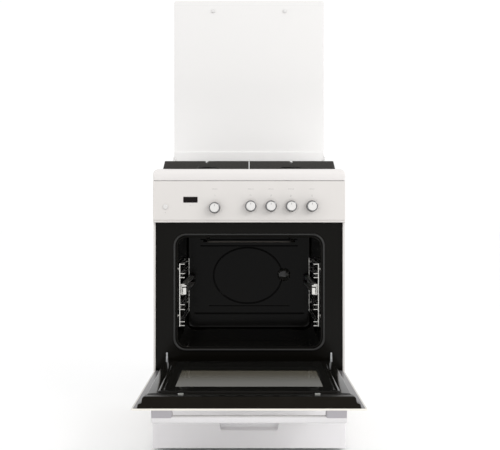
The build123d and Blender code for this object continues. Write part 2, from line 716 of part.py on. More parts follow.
# ---- lid ----
def make_lid():
    length = lid_pivot_y + lid_overhang
    top = lid_pivot_z + length
    y0 = lid_pivot_y + 6
    y1 = y0 + lid_glass_thickness
    glass_low = lid_pivot_z + 2
    glass = block(-lid_width / 2, lid_width / 2, y0, y1, glass_low, top)
    nodes["lid_glass"] = fillet(glass.edges().filter_by(Axis.Y).group_by(Axis.Z)[-1], 8)

    # hinge rail: a channel gripping the glass's lower edge, with a pin at each end
    rail_half = lid_width / 2 - 3
    bracket_inner = lid_width / 2 + gap
    bracket_outer = bracket_inner + 3.5
    low = lid_pivot_z - 8
    rail = block(-rail_half, rail_half, lid_pivot_y - 5, y1 + 2, low, low + lid_rail_height)
    rail = fillet(rail.edges().filter_by(Axis.X).group_by(Axis.Y)[0], 3)
    rail -= block(-half, half, y0 - 0.1, y1 + 0.1, glass_low - 0.1, top)
    pin = rod((-bracket_outer, lid_pivot_y, lid_pivot_z), (bracket_outer, lid_pivot_y, lid_pivot_z),
              lid_pin_radius)
    nodes["lid_hinge_rail"] = rail + pin

    # bumpers: two rubber buttons near the lid's free edge
    bumpers = []
    for x in (-140, 140):
        button = rod((x, y0 - 9, top - 40), (x, y0, top - 40), 8)
        bumpers.append(fillet(button.edges().group_by(Axis.Y)[0], 2.5))
    nodes["lid_bumpers"] = group(bumpers)

    # hinge brackets: upright plates on the worktop's rear edge
    brackets = []
    for side in (-1, 1):
        x0 = bracket_inner
        x1 = bracket_outer
        plate = block(x0, x1, lid_pivot_y - 9, lid_pivot_y + 9, worktop_top - 1, lid_pivot_z + 9)
        plate = fillet(plate.edges().filter_by(Axis.X).group_by(Axis.Z)[-1], 8)
        plate -= rod((x0 - 1, lid_pivot_y, lid_pivot_z), (x1 + 1, lid_pivot_y, lid_pivot_z),
                     lid_pin_radius + running)
        foot = block(x1 - 34, x1, lid_pivot_y - 9, lid_pivot_y + 9, worktop_top, worktop_top + 3)
        bracket = plate + foot
        bracket -= block(0, half, lid_pivot_y - 30, depth, worktop_top - 30, worktop_top)
        brackets.append(bracket if side > 0 else mirrored(bracket))
    nodes["lid_hinge_brackets"] = group(brackets)


make_casing()
make_oven()
make_runners()
make_door()
make_drawer()
make_controls()
make_hob()
make_lid()

os.makedirs("parts", exist_ok=True)
for name, shape in nodes.items():
    moved = [Pos(0, shift, 0) * solid for solid in shape.solids()]
    export_step(moved[0] if len(moved) == 1 else Compound(moved), "parts/" + name + ".step")
print(len(nodes), "nodes, shift", shift)
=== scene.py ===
import json
import math
import bpy
import bmesh
import numpy as np
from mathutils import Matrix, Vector


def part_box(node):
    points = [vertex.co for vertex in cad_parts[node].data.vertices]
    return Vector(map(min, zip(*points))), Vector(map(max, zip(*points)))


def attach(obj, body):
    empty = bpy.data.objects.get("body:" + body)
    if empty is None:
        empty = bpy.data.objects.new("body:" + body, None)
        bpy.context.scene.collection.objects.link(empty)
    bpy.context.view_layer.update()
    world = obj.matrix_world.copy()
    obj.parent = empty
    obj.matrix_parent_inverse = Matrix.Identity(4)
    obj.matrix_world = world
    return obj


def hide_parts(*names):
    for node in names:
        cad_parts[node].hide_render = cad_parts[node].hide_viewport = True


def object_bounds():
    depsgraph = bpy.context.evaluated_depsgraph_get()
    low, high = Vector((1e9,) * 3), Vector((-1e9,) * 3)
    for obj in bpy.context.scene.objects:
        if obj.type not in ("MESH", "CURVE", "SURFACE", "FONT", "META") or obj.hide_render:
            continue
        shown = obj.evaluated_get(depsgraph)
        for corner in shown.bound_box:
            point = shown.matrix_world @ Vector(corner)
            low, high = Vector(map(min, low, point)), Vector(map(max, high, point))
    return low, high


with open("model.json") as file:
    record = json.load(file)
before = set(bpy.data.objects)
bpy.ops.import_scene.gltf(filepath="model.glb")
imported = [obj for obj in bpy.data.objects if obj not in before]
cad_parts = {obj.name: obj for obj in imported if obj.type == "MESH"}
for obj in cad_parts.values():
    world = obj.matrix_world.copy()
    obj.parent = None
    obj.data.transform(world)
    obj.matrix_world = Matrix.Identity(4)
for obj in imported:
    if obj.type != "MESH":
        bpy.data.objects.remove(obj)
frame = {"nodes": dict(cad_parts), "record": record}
cadLow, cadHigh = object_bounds()
print("frame loaded:", len(frame["nodes"]), "nodes")

# shapes are worked out in millimetres with y = 0 on the face of the control panel
mm = 0.001
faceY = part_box("control_panel")[0].y
slotOf = {part["node"]: part["material_slot"] for part in frame["record"]["subparts"]}


def span(node):
    # lowest and highest corner of a CAD node, in millimetres, y counted from the panel's face
    low, high = (np.array(corner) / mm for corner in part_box(node))
    shift = np.array([0, faceY / mm, 0])
    return low - shift, high - shift


def centre(node):
    low, high = span(node)
    return (low + high) / 2


def addObject(name, data):
    made = bpy.data.objects.new(name, data)
    bpy.context.scene.collection.objects.link(made)
    return made


class Wire:
    # one output socket; the usual signs add a Math node
    def __init__(self, shader, socket):
        self.shader = shader
        self.socket = socket

    def maths(self, sign, first, second):
        return self.shader.node("ShaderNodeMath", {"operation": sign}, {0: first, 1: second})

    def __add__(self, other):
        return self.maths("ADD", self, other)

    def __radd__(self, other):
        return self.maths("ADD", other, self)

    def __sub__(self, other):
        return self.maths("SUBTRACT", self, other)

    def __rsub__(self, other):
        return self.maths("SUBTRACT", other, self)

    def __mul__(self, other):
        return self.maths("MULTIPLY", self, other)

    def __rmul__(self, other):
        return self.maths("MULTIPLY", other, self)

    def __abs__(self):
        return self.maths("ABSOLUTE", self, 0.0)


class Shader:
    # a material being built; place is the object's own coordinates
    def __init__(self, name):
        self.material = bpy.data.materials.new(name)
        self.material.use_nodes = True
        self.tree = self.material.node_tree
        self.tree.nodes.clear()
        self.place = self.node("ShaderNodeTexCoord", out="Object")

    def node(self, kind, settings=None, values=None, out=0):
        made = self.tree.nodes.new(kind)
        for key, value in (settings or {}).items():
            setattr(made, key, value)
        for key, value in (values or {}).items():
            if isinstance(value, Wire):
                self.tree.links.new(value.socket, made.inputs[key])
            else:
                made.inputs[key].default_value = value
        return Wire(self, made.outputs[out])

    def stretched(self, x, y, z):
        # the object's own coordinates, stretched along an axis for grain that runs one way
        return self.node("ShaderNodeMapping", {}, {"Vector": self.place, "Scale": (x, y, z)})

    def noise(self, scale, detail=2.0, rough=0.5, vector=None):
        return self.node("ShaderNodeTexNoise", {},
                         {"Vector": vector or self.place, "Scale": scale, "Detail": detail,
                          "Roughness": rough})

    def step(self, value, low, high):
        # 0 below low, 1 above high, a smooth slope between
        return self.node("ShaderNodeMapRange", {"interpolation_type": "SMOOTHSTEP"},
                         {"Value": value, "From Min": low, "From Max": high})

    def axis(self, name):
        return self.node("ShaderNodeSeparateXYZ", {}, {0: self.place}, out=name)

    def mix(self, share, first, second):
        colours = {6: first, 7: second}
        for key, value in colours.items():
            if not isinstance(value, Wire):
                colours[key] = (*value, 1)
        return self.node("ShaderNodeMix", {"data_type": "RGBA"}, {0: share, **colours}, out=2)

    def bump(self, height, strength, distance, under=None):
        values = {"Height": height, "Strength": strength, "Distance": distance}
        if under:
            values["Normal"] = under
        return self.node("ShaderNodeBump", {}, values, out="Normal")

    def done(self, values):
        # a Principled surface with these values, wired to the material's output
        surface = self.node("ShaderNodeBsdfPrincipled", {}, values)
        output = self.tree.nodes.new("ShaderNodeOutputMaterial")
        self.tree.links.new(surface.socket, output.inputs["Surface"])
        return self.material


def shade(colour, change):
    return tuple(min(1.0, part * change) for part in colour)


def enamelFinish(name, colour, specks=0.0, roughness=0.16, coat=0.6, bend=1.5):
    # glass fired on steel: a slow drift of tone, a fine orange-peel ripple and, on black, pale specks
    s = Shader(name)
    drift = s.noise(5.0, 3.0)
    base = s.mix(drift, shade(colour, 0.965), shade(colour, 1.02))
    if specks:
        cells = s.node("ShaderNodeTexVoronoi", {}, {"Vector": s.place, "Scale": 420.0}, out="Distance")
        dots = (1 - s.step(cells, 0.04, 0.10)) * s.step(s.noise(160.0), 0.56, 0.66)
        base = s.mix(dots * specks, base, (0.35, 0.35, 0.34))
    ripple = s.bump(s.noise(240.0, 2.0), 0.06, 0.0004, s.bump(s.noise(38.0), 0.04, 0.0006))
    rough = roughness + 0.05 * s.noise(60.0)
    return s.done({"Base Color": base, "Roughness": rough, "Normal": ripple, "Coat Weight": coat,
                   "Coat Roughness": 0.04, "IOR": bend})


def sheetFinish(name, colour, roughness=0.34):
    # zinc-dipped sheet: flat crystals, each with its own tone and gloss, under faint rolling lines
    s = Shader(name)
    warp = s.noise(30.0)
    cells = s.node("ShaderNodeTexVoronoi", {}, {"Vector": s.place, "Scale": 150.0, "Randomness": 1.0},
                   out="Color")
    tone = s.node("ShaderNodeSeparateColor", {}, {0: cells}, out=0)
    base = s.mix(tone * 0.7 + warp * 0.3, shade(colour, 0.88), shade(colour, 1.08))
    rough = roughness + 0.16 * tone - 0.05 * warp
    rolled = s.bump(s.noise(400.0, 2.0, 0.5, s.stretched(1.0, 1.0, 0.04)), 0.08, 0.0003)
    return s.done({"Base Color": base, "Roughness": rough, "Metallic": 1.0, "Normal": rolled})


def metalFinish(name, colour, roughness, grain=(1, 1, 1), stain=0.1, scale=900.0, depth=0.12):
    # turned, drawn or brushed metal: fine lines along the short side of the grain, and a dull breath over it
    s = Shader(name)
    lines = s.noise(scale, 3.0, 0.6, s.stretched(*grain))
    breath = s.noise(26.0, 3.0)
    base = s.mix(breath, shade(colour, 1 - stain), shade(colour, 1 + stain * 0.4))
    rough = roughness * 0.7 + roughness * 0.35 * breath + roughness * 0.25 * lines
    return s.done({"Base Color": base, "Roughness": rough, "Metallic": 1.0,
                   "Normal": s.bump(lines, depth, 0.0003)})


def plasticFinish(name, colour, roughness=0.35, grain=0.12, scale=1400.0, coat=0.0, wear=0.05):
    # moulded or rubbery stuff: a fine spark-eroded grain and slightly polished high spots
    s = Shader(name)
    fine = s.noise(scale, 2.0)
    slow = s.noise(18.0, 3.0)
    base = s.mix(slow, shade(colour, 1 - wear), shade(colour, 1 + wear))
    rough = roughness + 0.10 * fine - 0.08 * slow
    return s.done({"Base Color": base, "Roughness": rough, "Coat Weight": coat,
                   "Coat Roughness": 0.08, "Normal": s.bump(fine, grain, 0.0003)})


def roughFinish(name, colour, pale, scale, depth, roughness=0.75, metal=0.0, fluff=1.0):
    # cast, fibrous or fired surfaces: three sizes of noise, the hollows darker than the tops
    s = Shader(name)
    big = s.noise(scale, 6.0, 0.62, s.stretched(1, fluff, 1))
    small = s.noise(scale * 7, 3.0)
    height = big * 0.65 + small * 0.35
    base = s.mix(s.step(height, 0.32, 0.68), colour, pale)
    rough = roughness + 0.18 * small - 0.10 * big
    return s.done({"Base Color": base, "Roughness": rough, "Metallic": metal,
                   "Normal": s.bump(height, 0.55, depth)})


def windowPatch(s, half, far, near, soft):
    # 1 inside a window of the open door and 0 outside, softly; far and near count from the panel's face
    inside = 1 - s.step(abs(s.axis("X")), half, half + soft)
    along = s.axis("Y")
    inside = inside * s.step(along, faceY - far, faceY - far + soft)
    return inside * (1 - s.step(along, faceY - near, faceY - near + soft))


def doorGlassFinish(name):
    # the outer glass is white in front, with its window painted dark as the shade of the unlit oven behind
    # it; on the side that faces the oven its white print is painted grey as shade, save a border at its outer
    # edge, and its window there is painted with the light seen through it
    s = Shader(name)
    sheet = Vector(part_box("door_outer_glass")[0])
    dark = windowPatch(s, 0.1975, 0.3595, 0.1545, 0.001)
    edge = s.step(abs(s.axis("X")), cadHigh.x - 0.0075, cadHigh.x - 0.0055)
    # painted shade: the white print on the oven side is painted grey inside a border that keeps its own pale
    # tone
    paintedShadeOnPrint = s.mix(edge, (0.15, 0.143, 0.147), (0.66, 0.64, 0.60))
    mottledPaintedShade = s.mix(s.noise(7.0), paintedShadeOnPrint, s.mix(0.05, paintedShadeOnPrint, (0.70, 0.69, 0.67)))
    # the window is opaque: painted light on its oven side for the view through it, painted dark in front for
    # the shade of the unlit oven
    inward = s.mix(dark, mottledPaintedShade, (0.27, 0.262, 0.225))
    outward = s.mix(dark, (0.66, 0.64, 0.61), (0.022, 0.021, 0.019))
    front = 1 - s.step(s.axis("Z"), sheet.z + 0.0008, sheet.z + 0.0012)
    body = s.step(s.axis("Y"), cadLow.y + 0.0008, cadLow.y + 0.0013)
    base = s.mix(body, (0.80, 0.77, 0.71), s.mix(front, inward, outward))
    return s.done({"Base Color": base, "Roughness": 0.05 + 0.05 * s.noise(40.0), "IOR": 1.2})


def innerGlassFinish(name):
    # a black fired border round a smoked window that is a little see-through, with dots where they meet; the
    # window's colour is painted light, the view through it, paler towards the door's free edge and with
    # painted shade towards the hinge
    s = Shader(name)
    grid = s.node("ShaderNodeTexVoronoi", {}, {"Vector": s.place, "Scale": 400.0, "Randomness": 0.0},
                  out="Distance")
    dots = 1 - s.step(grid, 0.30, 0.36)
    whole = windowPatch(s, 0.1945, 0.3565, 0.157, 0.0005)
    dotted = 0.0035
    inner = windowPatch(s, 0.1945 - dotted, 0.3565 - dotted, 0.157 + dotted, 0.0005)
    clear = inner + (whole - inner) * (1 - dots)
    smear = s.noise(14.0, 4.0)
    black = s.mix(smear, (0.0045, 0.0045, 0.0038), (0.007, 0.0066, 0.006))
    # painted view through the window: paler towards the door's free edge, painted shade towards the hinge
    paintedViewThrough = s.mix(s.step(s.axis("Y"), faceY - 0.34, faceY - 0.17), (0.20, 0.198, 0.185), (0.098, 0.090, 0.070))
    return s.done({"Base Color": s.mix(clear, black, paintedViewThrough), "IOR": 1.08,
                   "Roughness": 0.05 + 0.06 * smear, "Alpha": 1 - 0.2 * clear})


def lidFinish(name):
    # white-backed glass with painted light towards the hinge, paler there to lift the shade cast by the hob,
    # and one thin printed line near its free edge
    s = Shader(name)
    height = s.axis("Z")
    # painted light: paler below 0.95 m to lift the hob's shade on the lid's lower part
    base = s.mix(s.step(height, 0.95, 1.25), (0.865, 0.855, 0.845), (0.76, 0.75, 0.74))
    line = s.step(height, cadHigh.z - 0.0186, cadHigh.z - 0.0184) \
        * (1 - s.step(height, cadHigh.z - 0.0180, cadHigh.z - 0.0178))
    smear = s.noise(11.0, 4.0)
    return s.done({"Base Color": s.mix(line, base, (0.62, 0.61, 0.60)), "IOR": 1.35,
                   "Roughness": 0.045 + 0.04 * smear, "Coat Weight": 0.2, "Coat Roughness": 0.04})


railFinish = enamelFinish("railEnamel", (0.86, 0.85, 0.84), coat=0.2, bend=1.35)
finishes = {
    "white_enamel": enamelFinish("whiteEnamel", (0.665, 0.640, 0.618), coat=0.3, bend=1.35),
    "black_enamel": enamelFinish("blackEnamel", (0.0034, 0.0030, 0.0022), specks=0.03, roughness=0.10,
                                 coat=0.0,
                                 bend=1.2),
    "galvanised": sheetFinish("galvanisedSheet", (0.56, 0.57, 0.58)),
    "zinc_screws": metalFinish("zincScrews", (0.62, 0.63, 0.60), 0.30),
    "black_feet": plasticFinish("blackFeet", (0.018, 0.018, 0.018), 0.55, 0.25, 700.0),
    "mineral_wool": roughFinish("mineralWool", (0.33, 0.29, 0.17), (0.62, 0.56, 0.38), 90.0, 0.004, 0.9,
                                fluff=0.15),
    "burner_steel": metalFinish("burnerSteel", (0.11, 0.10, 0.09), 0.50, stain=0.3),
    "chrome_wire": metalFinish("chromeWire", (0.74, 0.73, 0.70), 0.34, stain=0.05, depth=0.03),
    "lamp_ceramic": roughFinish("lampCeramic", (0.70, 0.68, 0.63), (0.84, 0.82, 0.78), 120.0, 0.0003, 0.45),
    "seal_rubber": plasticFinish("sealRubber", (0.008, 0.0078, 0.007), 0.4, 0.3, 500.0),
    "display_glass": enamelFinish("displayGlass", (0.006, 0.004, 0.004), roughness=0.05, coat=0.0, bend=1.2),
    "module_plastic": plasticFinish("modulePlastic", (0.05, 0.05, 0.052), 0.45),
    "button_plastic": plasticFinish("buttonPlastic", (0.66, 0.65, 0.635), 0.30, 0.08, coat=0.3),
    "knob_plastic": plasticFinish("knobPlastic", (0.69, 0.68, 0.665), 0.28, 0.06, coat=0.4),
    "brass_gas": metalFinish("brassGas", (0.72, 0.53, 0.25), 0.32, stain=0.2),
    "spindle_steel": metalFinish("spindleSteel", (0.55, 0.54, 0.52), 0.25, (1, 0.05, 1)),
    "gas_pipe": metalFinish("gasPipe", (0.52, 0.50, 0.46), 0.38, stain=0.25),
    "burner_aluminium": roughFinish("burnerAluminium", (0.34, 0.335, 0.33), (0.58, 0.575, 0.565), 260.0,
                                    0.0004,
                                    0.42, 1.0),
    "electrode_ceramic": roughFinish("electrodeCeramic", (0.74, 0.73, 0.70), (0.86, 0.85, 0.83), 300.0,
                                     0.0002,
                                     0.35),
    "cast_iron": roughFinish("castIron", (0.008, 0.0065, 0.005), (0.023, 0.0195, 0.016), 330.0, 0.0006, 0.55),
    "lid_glass": lidFinish("lidGlass"),
    "lid_metal": metalFinish("lidMetal", (0.90, 0.895, 0.885), 0.30, (0.03, 1, 1), 0.06),
    "lid_rubber": plasticFinish("lidRubber", (0.70, 0.695, 0.685), 0.5, 0.2, 600.0),
    "door_glass_white": doorGlassFinish("doorGlassWhite"),
    "door_glass_dark": innerGlassFinish("doorGlassDark"),
    "door_trim": metalFinish("doorTrim", (0.013, 0.0115, 0.0095), 0.36, (0.03, 1, 1), 0.2),
    "handle_white": plasticFinish("handleWhite", (0.625, 0.612, 0.618), 0.26, 0.05, 900.0, coat=0.2,
                                  wear=0.02),
}
lamp = Shader("lampGlass")
finishes["lamp_glass"] = lamp.done(
    {"Base Color": (0.06, 0.058, 0.05, 1), "Roughness": 0.05 + 0.10 * lamp.noise(60.0), "IOR": 1.45,
     "Transmission Weight": 0.5, "Normal": lamp.bump(lamp.noise(70.0), 0.2, 0.001)})
# a paler copy of the white enamel for the worktop: painted light on the top
paintedLightTopFinish = enamelFinish("hobEnamelPaintedLight", (0.725, 0.700, 0.685), coat=0.3, bend=1.35)
# a much paler copy of the white enamel for the drawer front: painted light that lifts the shade of the open
# door
paintedLightDrawerFinish = enamelFinish("drawerEnamelPaintedLight", (0.85, 0.835, 0.848), coat=0.3, bend=1.35)
postFinish = plasticFinish("handlePosts", (0.34, 0.325, 0.345), 0.3)
markFinish = plasticFinish("printedMarks", (0.20, 0.195, 0.19), 0.4)
chromeRing = metalFinish("chromeRing", (0.22, 0.22, 0.225), 0.12, stain=0.05, depth=0.02)
stripFinish = plasticFinish("doorStrip", (0.78, 0.77, 0.75), 0.3)
for node, shown in frame["nodes"].items():
    shown.data.materials.clear()
    shown.data.materials.append(finishes[slotOf[node]])
print("finishes made:", len(bpy.data.materials))


def quads(rows, cols, wrapRows=False, wrapCols=False):
    # the four corners of each cell of a grid of points
    r = np.arange(rows if wrapRows else rows - 1)[:, None]
    c = np.arange(cols if wrapCols else cols - 1)[None, :]
    r2, c2 = (r + 1) % rows, (c + 1) % cols
    return np.stack([r * cols + c, r * cols + c2, r2 * cols + c2, r2 * cols + c], -1).reshape(-1, 4)


def outline(corners, radius, steps=6):
    # a rounded polygon: each corner is an arc tangent to both its sides, centred on the line between them
    p = np.array(corners, float)
    r = np.broadcast_to(np.asarray(radius, float), len(p)) + 0.01
    back = np.roll(p, 1, 0) - p
    ahead = np.roll(p, -1, 0) - p
    back /= np.linalg.norm(back, axis=1)[:, None]
    ahead /= np.linalg.norm(ahead, axis=1)[:, None]
    middle = back + ahead
    middle /= np.linalg.norm(middle, axis=1)[:, None]
    half = np.arccos(np.clip((back * ahead).sum(1), -1, 1)) / 2
    centre = p + middle * (r / np.sin(half))[:, None]
    first = p + back * (r / np.tan(half))[:, None] - centre
    last = p + ahead * (r / np.tan(half))[:, None] - centre
    start = np.arctan2(first[:, 1], first[:, 0])
    turn = (np.arctan2(last[:, 1], last[:, 0]) - start + np.pi) % (2 * np.pi) - np.pi
    angle = start[:, None] + turn[:, None] * np.linspace(0, 1, steps + 1)
    arc = np.stack([np.cos(angle), np.sin(angle)], -1) * r[:, None, None]
    return (centre[:, None] + arc).reshape(-1, 2)


def rectangle(x0, x1, z0, z1, radius=0.0, steps=6):
    return outline([(x0, z0), (x1, z0), (x1, z1), (x0, z1)], radius, steps)


def paneLoops(shape, low, high, edge, inner=40):
    # loops of a pane with ground edges: its outline draws in along a quarter circle at both faces
    turn = np.linspace(0, math.pi / 2, 5)
    first = [shape(edge * (1 - math.sin(t)), low + edge * (1 - math.cos(t))) for t in turn]
    last = [shape(edge * (1 - math.cos(t)), high - edge + edge * math.sin(t)) for t in turn]
    return [shape(inner, low)] + first + last + [shape(inner, high)]


def lift(flat, axis, level):
    # puts a flat outline into space at a level along the axis: x takes (y, z), y takes (x, z), z takes (x, y)
    level = np.broadcast_to(level, len(flat))
    order = {"x": (level, flat[:, 0], flat[:, 1]), "y": (flat[:, 0], level, flat[:, 1]),
             "z": (flat[:, 0], flat[:, 1], level)}
    return np.stack(order[axis], -1)


def loft(loops, ends="caps"):
    # skin over loops with equal counts of points; its ends are capped, or joined into a ring
    points = np.array(loops)
    rows, cols = points.shape[:2]
    faces = [quads(rows, cols, ends == "ring", True)]
    if ends == "caps":
        faces.append(np.arange(cols)[None])
        faces.append(np.arange(cols)[None] + (rows - 1) * cols)
    return points.reshape(-1, 3), faces


def prism(flat, axis, low, high):
    # one outline carried straight along an axis
    return loft([lift(flat, axis, low), lift(flat, axis, high)])


def brick(x0, x1, y0, y1, z0, z1, radius=0.0):
    return prism(rectangle(x0, x1, z0, z1, radius, 3), "y", y0, y1)


def lathe(profile, centre, axis="y", steps=40, teeth=None, ring=False):
    # turns (radius, height) pairs about an axis; teeth changes the radius with angle and height
    profile = np.array(profile, float)
    angle = np.linspace(0, 2 * np.pi, steps, endpoint=False)
    radius = profile[:, :1] * np.ones(steps)
    height = profile[:, 1:] * np.ones(steps)
    if teeth:
        radius = radius + teeth(angle[None], height) * (radius > 0)
    across, up = radius * np.cos(angle), radius * np.sin(angle)
    order = {"x": (height, across, up), "y": (across, height, up), "z": (across, up, height)}
    points = np.stack(order[axis], -1) + np.array(centre, float)
    faces = [quads(len(profile), steps, ring, True)]
    if not ring:
        faces.append(np.arange(steps)[None])
        faces.append(np.arange(steps)[None] + (len(profile) - 1) * steps)
    return points.reshape(-1, 3), faces


def tube(points, radius, up=(0, 0, 1), sides=12, closed=False):
    # a round section carried along a flat path; up is square to the path's plane
    p = np.array(points, float)
    ahead = (np.roll(p, -1, 0) - np.roll(p, 1, 0)) if closed else np.gradient(p, axis=0)
    ahead /= np.linalg.norm(ahead, axis=1)[:, None]
    up = np.array(up, float)
    side = np.cross(ahead, up)
    side /= np.linalg.norm(side, axis=1)[:, None]
    angle = np.linspace(0, 2 * np.pi, sides, endpoint=False)[None, :, None]
    loops = p[:, None] + radius * (np.cos(angle) * side[:, None] + np.sin(angle) * up)
    return loft(loops, "ring" if closed else "caps")


def graded(low, high, step, marks=(), reach=1.0, fine=5):
    # grid lines from low to high, drawn close together round each mark
    near = [np.linspace(m - reach, m + reach, fine) for m in marks]
    lines = np.concatenate([np.arange(low, high, step), [high], *near])
    lines = np.unique(np.round(lines[(lines >= low) & (lines <= high)], 2))
    keep = np.concatenate([[True], np.diff(lines) > 0.12])
    keep[-1] = True
    return lines[keep]


def rise(value, low, high):
    # a smooth step from 0 at low to 1 at high
    t = np.clip((value - low) / (high - low), 0, 1)
    return t * t * (3 - 2 * t)


def pressed(xs, zs, front, back):
    # a panel in x and z whose front is a function of both, closed by a flat back
    x, z = np.meshgrid(xs, zs, indexing="ij")
    rows, cols = x.shape
    top = np.stack([x, front(x, z), z], -1).reshape(-1, 3)
    index = np.arange(rows * cols).reshape(rows, cols)
    rim = np.concatenate([index[:-1, 0], index[-1, :-1], index[:0:-1, -1], index[0, :0:-1]])
    bottom = top[rim].copy()
    bottom[:, 1] = back
    n, start = len(rim), rows * cols
    here = np.arange(n)
    nextOne = (here + 1) % n
    wall = np.stack([rim, rim[nextOne], start + nextOne, start + here], -1)
    return np.vstack([top, bottom]), [quads(rows, cols), wall, (start + here)[None]]


def edgeFall(x, z, box, radius):
    # how far a face drops back near its edges: a quarter circle of the given radius
    x0, x1, z0, z1 = box
    near = np.minimum(np.minimum(x - x0, x1 - x), np.minimum(z - z0, z1 - z))
    d = np.clip(radius - near, 0, radius)
    return radius - np.sqrt(np.maximum(radius ** 2 - d ** 2, 0))


def flipped(surface):
    # the same surface on the other side of the range; normals are put right when the piece is made
    return surface[0] * np.array([-1, 1, 1]), surface[1]


def sided(surfaces, side):
    # the same surfaces, or their mirror images on the left of the range when side is -1
    return [flipped(surface) for surface in surfaces] if side < 0 else surfaces


def makeMesh(name, surfaces, sharp):
    points, loops, sizes, start = [], [], [], 0
    for p, faces in surfaces:
        points.append(p)
        for f in faces:
            f = np.asarray(f)
            loops.append((f + start).ravel())
            sizes.append(np.full(len(f), f.shape[1]))
        start += len(p)
    points = np.vstack(points) * mm + np.array([0, faceY, 0])
    loops, sizes = np.concatenate(loops), np.concatenate(sizes)
    mesh = bpy.data.meshes.new(name)
    mesh.vertices.add(len(points))
    mesh.vertices.foreach_set("co", points.astype(np.float32).ravel())
    mesh.loops.add(len(loops))
    mesh.loops.foreach_set("vertex_index", loops.astype(np.int32))
    mesh.polygons.add(len(sizes))
    mesh.polygons.foreach_set("loop_start", (np.cumsum(sizes) - sizes).astype(np.int32))
    mesh.update(calc_edges=True)
    mesh.validate()
    shell = bmesh.new()
    shell.from_mesh(mesh)
    bmesh.ops.remove_doubles(shell, verts=shell.verts, dist=2e-5)
    bmesh.ops.recalc_face_normals(shell, faces=shell.faces)
    shell.to_mesh(mesh)
    shell.free()
    mesh.polygons.foreach_set("use_smooth", np.ones(len(mesh.polygons), bool))
    mesh.set_sharp_from_angle(angle=math.radians(sharp))
    return mesh


def piece(name, surfaces, body, slot, *nodes, finish=None, bevel=0.0, sharp=38, segments=2):
    made = addObject(name, makeMesh(name, surfaces, sharp))
    made.data.materials.append(finish or finishes[slot])
    if bevel:
        edge = made.modifiers.new("softEdge", "BEVEL")
        edge.width = bevel * mm
        edge.segments = segments
        edge.limit_method = "ANGLE"
        edge.angle_limit = math.radians(40)
    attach(made, body)
    if nodes:
        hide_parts(*nodes)
    return made


# sizes and places in millimetres: the casing, the worktop's well, the oven's mouth, the hinges in the frame
casing = {"half": 300.0, "frontEdge": 17, "panelBack": 26, "hem": 6, "flange": 14, "sheet": 1.2,
          "shoulder": 18,
          "corner": 5, "footRadius": 18}
well = {"half": 280, "front": 36, "back": 558, "depth": 6.0, "corner": 30.0}
mouth = {"half": 225, "low": 319, "high": 662, "corner": 27}
hinge = {"slotX": 252, "slotLow": 249, "slotHigh": 267, "armX": 258.5, "armFoot": 257, "armHead": 301,
         "rivets": ((264, 2.6), (281, 1.9), (295, 2.2))}


def makeSides():
    # each side is a skin cut back for the control panel, a folded front hem and a folded rear flange
    outer, cut = casing["half"], casing["panelBack"]
    inner = outer - casing["sheet"]
    panelLow = span("control_panel")[0][2]
    for label, side in (("left", -1), ("right", 1)):
        low, high = span("side_panel_" + label)
        y0, y1, z0, z1 = casing["frontEdge"], high[1], low[2], high[2]
        skin = np.array([(y0, z0), (y1, z0), (y1, z1), (cut, z1), (cut, panelLow), (y0, panelLow)])
        hem = rectangle(outer - casing["hem"], inner + 0.2, y0, cut - 0.5, 0.8, 3)
        flange = rectangle(outer - casing["flange"], inner, y1 - 12, y1 - 10.8, 0.2, 2)
        parts = [prism(skin, "x", inner, outer), prism(hem, "z", z0, panelLow),
                 prism(flange, "z", z0, z1 - 1)]
        piece("sidePanel" + label.capitalize(), sided(parts, side), "range", "white_enamel",
              "side_panel_" + label, bevel=0.5)


def makeWorktop():
    # nested rounded rectangles from the underside, over the shoulder, and down into the well
    (x0, y0, z0), (x1, y1, z1) = span("worktop")
    c, r = casing["corner"], casing["shoulder"]
    floor = z1 - well["depth"]

    def level(inset, z, corner):
        return lift(rectangle(x0 + inset, x1 - inset, y0 + inset, y1 - inset, max(corner, 0.5), 8), "z", z)

    def sunk(grow, z, corner=well["corner"]):
        half = well["half"] + grow
        return lift(rectangle(-half, half, well["front"] - grow, well["back"] + grow, corner, 8), "z", z)

    loops = [level(26, z1 - 9.5, 8), level(20, z1 - 9.5, 8), level(3, z0 + 14, 4), level(2, z0, 4),
             level(0.4, z0, c), level(0, z0 + 0.6, c), level(0, z1 - r, c)]
    for t in np.linspace(0, np.pi / 2, 12)[1:]:
        loops.append(level(r * (1 - np.cos(t)) * 0.94, z1 - r + r * np.sin(t), c + 2 * np.sin(t)))
    for t in np.linspace(0, 1, 8):
        drop = well["depth"] * (3 * t ** 2 - 2 * t ** 3)
        loops.append(sunk(2 - 9 * t, z1 - drop - 0.05, well["corner"] - 6 * t))
    parts = [loft(loops + [sunk(-60, floor)])]
    # a low raised ring round each burner
    for (x, y), radius in zip(burnerPlaces, burnerRadii):
        wide = radius + 17
        ring = [(0, -1), (wide + 5, -1), (wide + 5, 0), (wide + 2, 0.8), (wide - 3, 1.4), (wide - 7, 0.4),
                (0, 0.4)]
        parts.append(lathe(ring, (x, y, floor), "z", 64))
    piece("worktopPressing", parts, "range", "white_enamel", "worktop", finish=paintedLightTopFinish, sharp=50)


